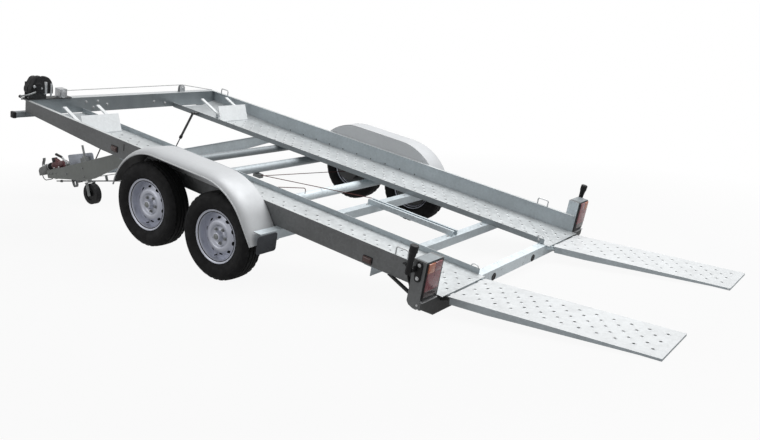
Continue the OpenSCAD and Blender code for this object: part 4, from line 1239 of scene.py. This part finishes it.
class TRAILER_OT_stage(bpy.types.Operator):
    """Pale floor, soft light and the camera"""

    bl_idname = "trailer.stage"
    bl_label = "Stage"

    def execute(self, context):
        scene = context.scene
        scene.view_settings.view_transform = "Standard"
        half = scene.trailer_sizes.floor_side / 2
        mesh = bpy.data.meshes.new("studio_floor")
        corners = [(-half, -half, 0), (half, -half, 0), (half, half, 0), (-half, half, 0)]
        mesh.from_pydata(corners, [], [(0, 1, 2, 3)])
        floor = bpy.data.objects.new("studio_floor", mesh)
        scene.collection.objects.link(floor)
        mesh.materials.append(self.floor_finish())
        self.sky(scene)
        for name, place, target, side, power in LIGHTS:
            lamp = bpy.data.lights.new(name, "AREA")
            lamp.shape = "DISK"
            lamp.size = side
            lamp.energy = power
            light = bpy.data.objects.new(name, lamp)
            light.location = place
            light.rotation_euler = (Vector(target) - Vector(place)).to_track_quat("-Z", "Y").to_euler()
            scene.collection.objects.link(light)
        camera = bpy.data.cameras.new("camera")
        camera.lens = EYE_LENS
        camera.sensor_width = EYE_SENSOR
        camera.shift_x, camera.shift_y = EYE_SHIFT
        eye = bpy.data.objects.new("camera", camera)
        right = BED_TURN @ Vector(EYE_RIGHT)
        down = BED_TURN @ Vector(EYE_DOWN)
        ahead = BED_TURN @ Vector(EYE_AHEAD)
        turn = Matrix((right, -down, -ahead)).transposed().to_4x4()
        eye.matrix_world = Matrix.Translation(BED @ Vector(EYE_PLACE)) @ turn
        scene.collection.objects.link(eye)
        scene.camera = eye
        return {"FINISHED"}

    def floor_finish(self):
        """Matt pale floor that looks white, fades out with distance and keeps the shadow."""
        s = Surface("studio_floor", Specular_IOR_Level=0.0)
        s.tones(s.noise(0.8, 3), (0.40, 0.40, 0.40, 1), (0.43, 0.43, 0.43, 1))
        s.rough(s.noise(3, 2), 0.85, 0.95)
        away = s.make("ShaderNodeVectorMath", operation="LENGTH")
        s.join(s.place, away.inputs[0])
        white = s.spread(away.outputs["Value"], 3.4, 6.0, 0.93, 1.0)
        path = s.make("ShaderNodeLightPath")
        mirror = s.make("ShaderNodeMath", operation="MAXIMUM")
        s.join(path.outputs["Is Glossy Ray"], mirror.inputs[0])
        s.join(path.outputs["Is Transmission Ray"], mirror.inputs[1])
        faint = s.spread(mirror.outputs[0], 0.0, 1.0, 0.0, 0.42)
        share = s.make("ShaderNodeMix", data_type="FLOAT")
        s.join(path.outputs["Is Camera Ray"], share.inputs[0])
        s.join(faint, share.inputs[2])
        s.join(white, share.inputs[3])
        glow = s.make("ShaderNodeEmission", Strength=1.0)
        mix = s.make("ShaderNodeMixShader")
        s.join(share.outputs[0], mix.inputs[0])
        s.join(s.shader.outputs[0], mix.inputs[1])
        s.join(glow.outputs[0], mix.inputs[2])
        s.join(mix.outputs[0], s.tree.nodes["Material Output"].inputs["Surface"])
        return s.material

    def sky(self, scene):
        """White surroundings: full white where seen, softer as light."""
        world = bpy.data.worlds.new("studio")
        scene.world = world
        world.use_nodes = True
        tree = world.node_tree
        ground = tree.nodes["Background"]
        ground.inputs["Color"].default_value = (1, 1, 1, 1)
        path = tree.nodes.new("ShaderNodeLightPath")
        last = path.outputs["Is Camera Ray"]
        for name in ("Is Glossy Ray", "Is Transmission Ray"):
            either = tree.nodes.new("ShaderNodeMath")
            either.operation = "MAXIMUM"
            tree.links.new(last, either.inputs[0])
            tree.links.new(path.outputs[name], either.inputs[1])
            last = either.outputs[0]
        level = tree.nodes.new("ShaderNodeMapRange")
        level.inputs["To Min"].default_value = 0.32
        level.inputs["To Max"].default_value = 1.0
        tree.links.new(last, level.inputs["Value"])
        tree.links.new(level.outputs["Result"], ground.inputs["Strength"])


OPERATORS = [
    TRAILER_OT_stage,
    TRAILER_OT_steelwork,
    TRAILER_OT_perforations,
    TRAILER_OT_fenders,
    TRAILER_OT_wheels,
    TRAILER_OT_lamps,
    TRAILER_OT_levers,
    TRAILER_OT_winch,
    TRAILER_OT_coupling,
    TRAILER_OT_drawbar_trim,
    TRAILER_OT_bed_trim,
]


class TRAILER_PT_panel(bpy.types.Panel):
    """Steps that dress the trailer, with the sizes and colours they use"""

    bl_idname = "TRAILER_PT_panel"
    bl_label = "Trailer"
    bl_space_type = "VIEW_3D"
    bl_region_type = "UI"
    bl_category = "Trailer"

    def draw(self, context):
        for operator in OPERATORS:
            self.layout.operator(operator.bl_idname)
        for group in (context.scene.trailer_sizes, context.scene.trailer_colours):
            box = self.layout.box()
            for name in group.__annotations__:
                box.prop(group, name)


CLASSES = [TrailerSizes, TrailerColours, *OPERATORS, TRAILER_PT_panel]


def register():
    for cls in CLASSES:
        bpy.utils.register_class(cls)
    bpy.types.Scene.trailer_sizes = PointerProperty(type=TrailerSizes)
    bpy.types.Scene.trailer_colours = PointerProperty(type=TrailerColours)


def unregister():
    del bpy.types.Scene.trailer_colours
    del bpy.types.Scene.trailer_sizes
    for cls in reversed(CLASSES):
        bpy.utils.unregister_class(cls)


def main():
    register()
    bpy.ops.trailer.stage()
    bpy.ops.trailer.steelwork()
    bpy.ops.trailer.perforations()
    bpy.ops.trailer.fenders()
    bpy.ops.trailer.wheels()
    bpy.ops.trailer.lamps()
    bpy.ops.trailer.levers()
    bpy.ops.trailer.winch()
    bpy.ops.trailer.coupling()
    bpy.ops.trailer.drawbar_trim()
    bpy.ops.trailer.bed_trim()


if __name__ == "__main__":
    main()
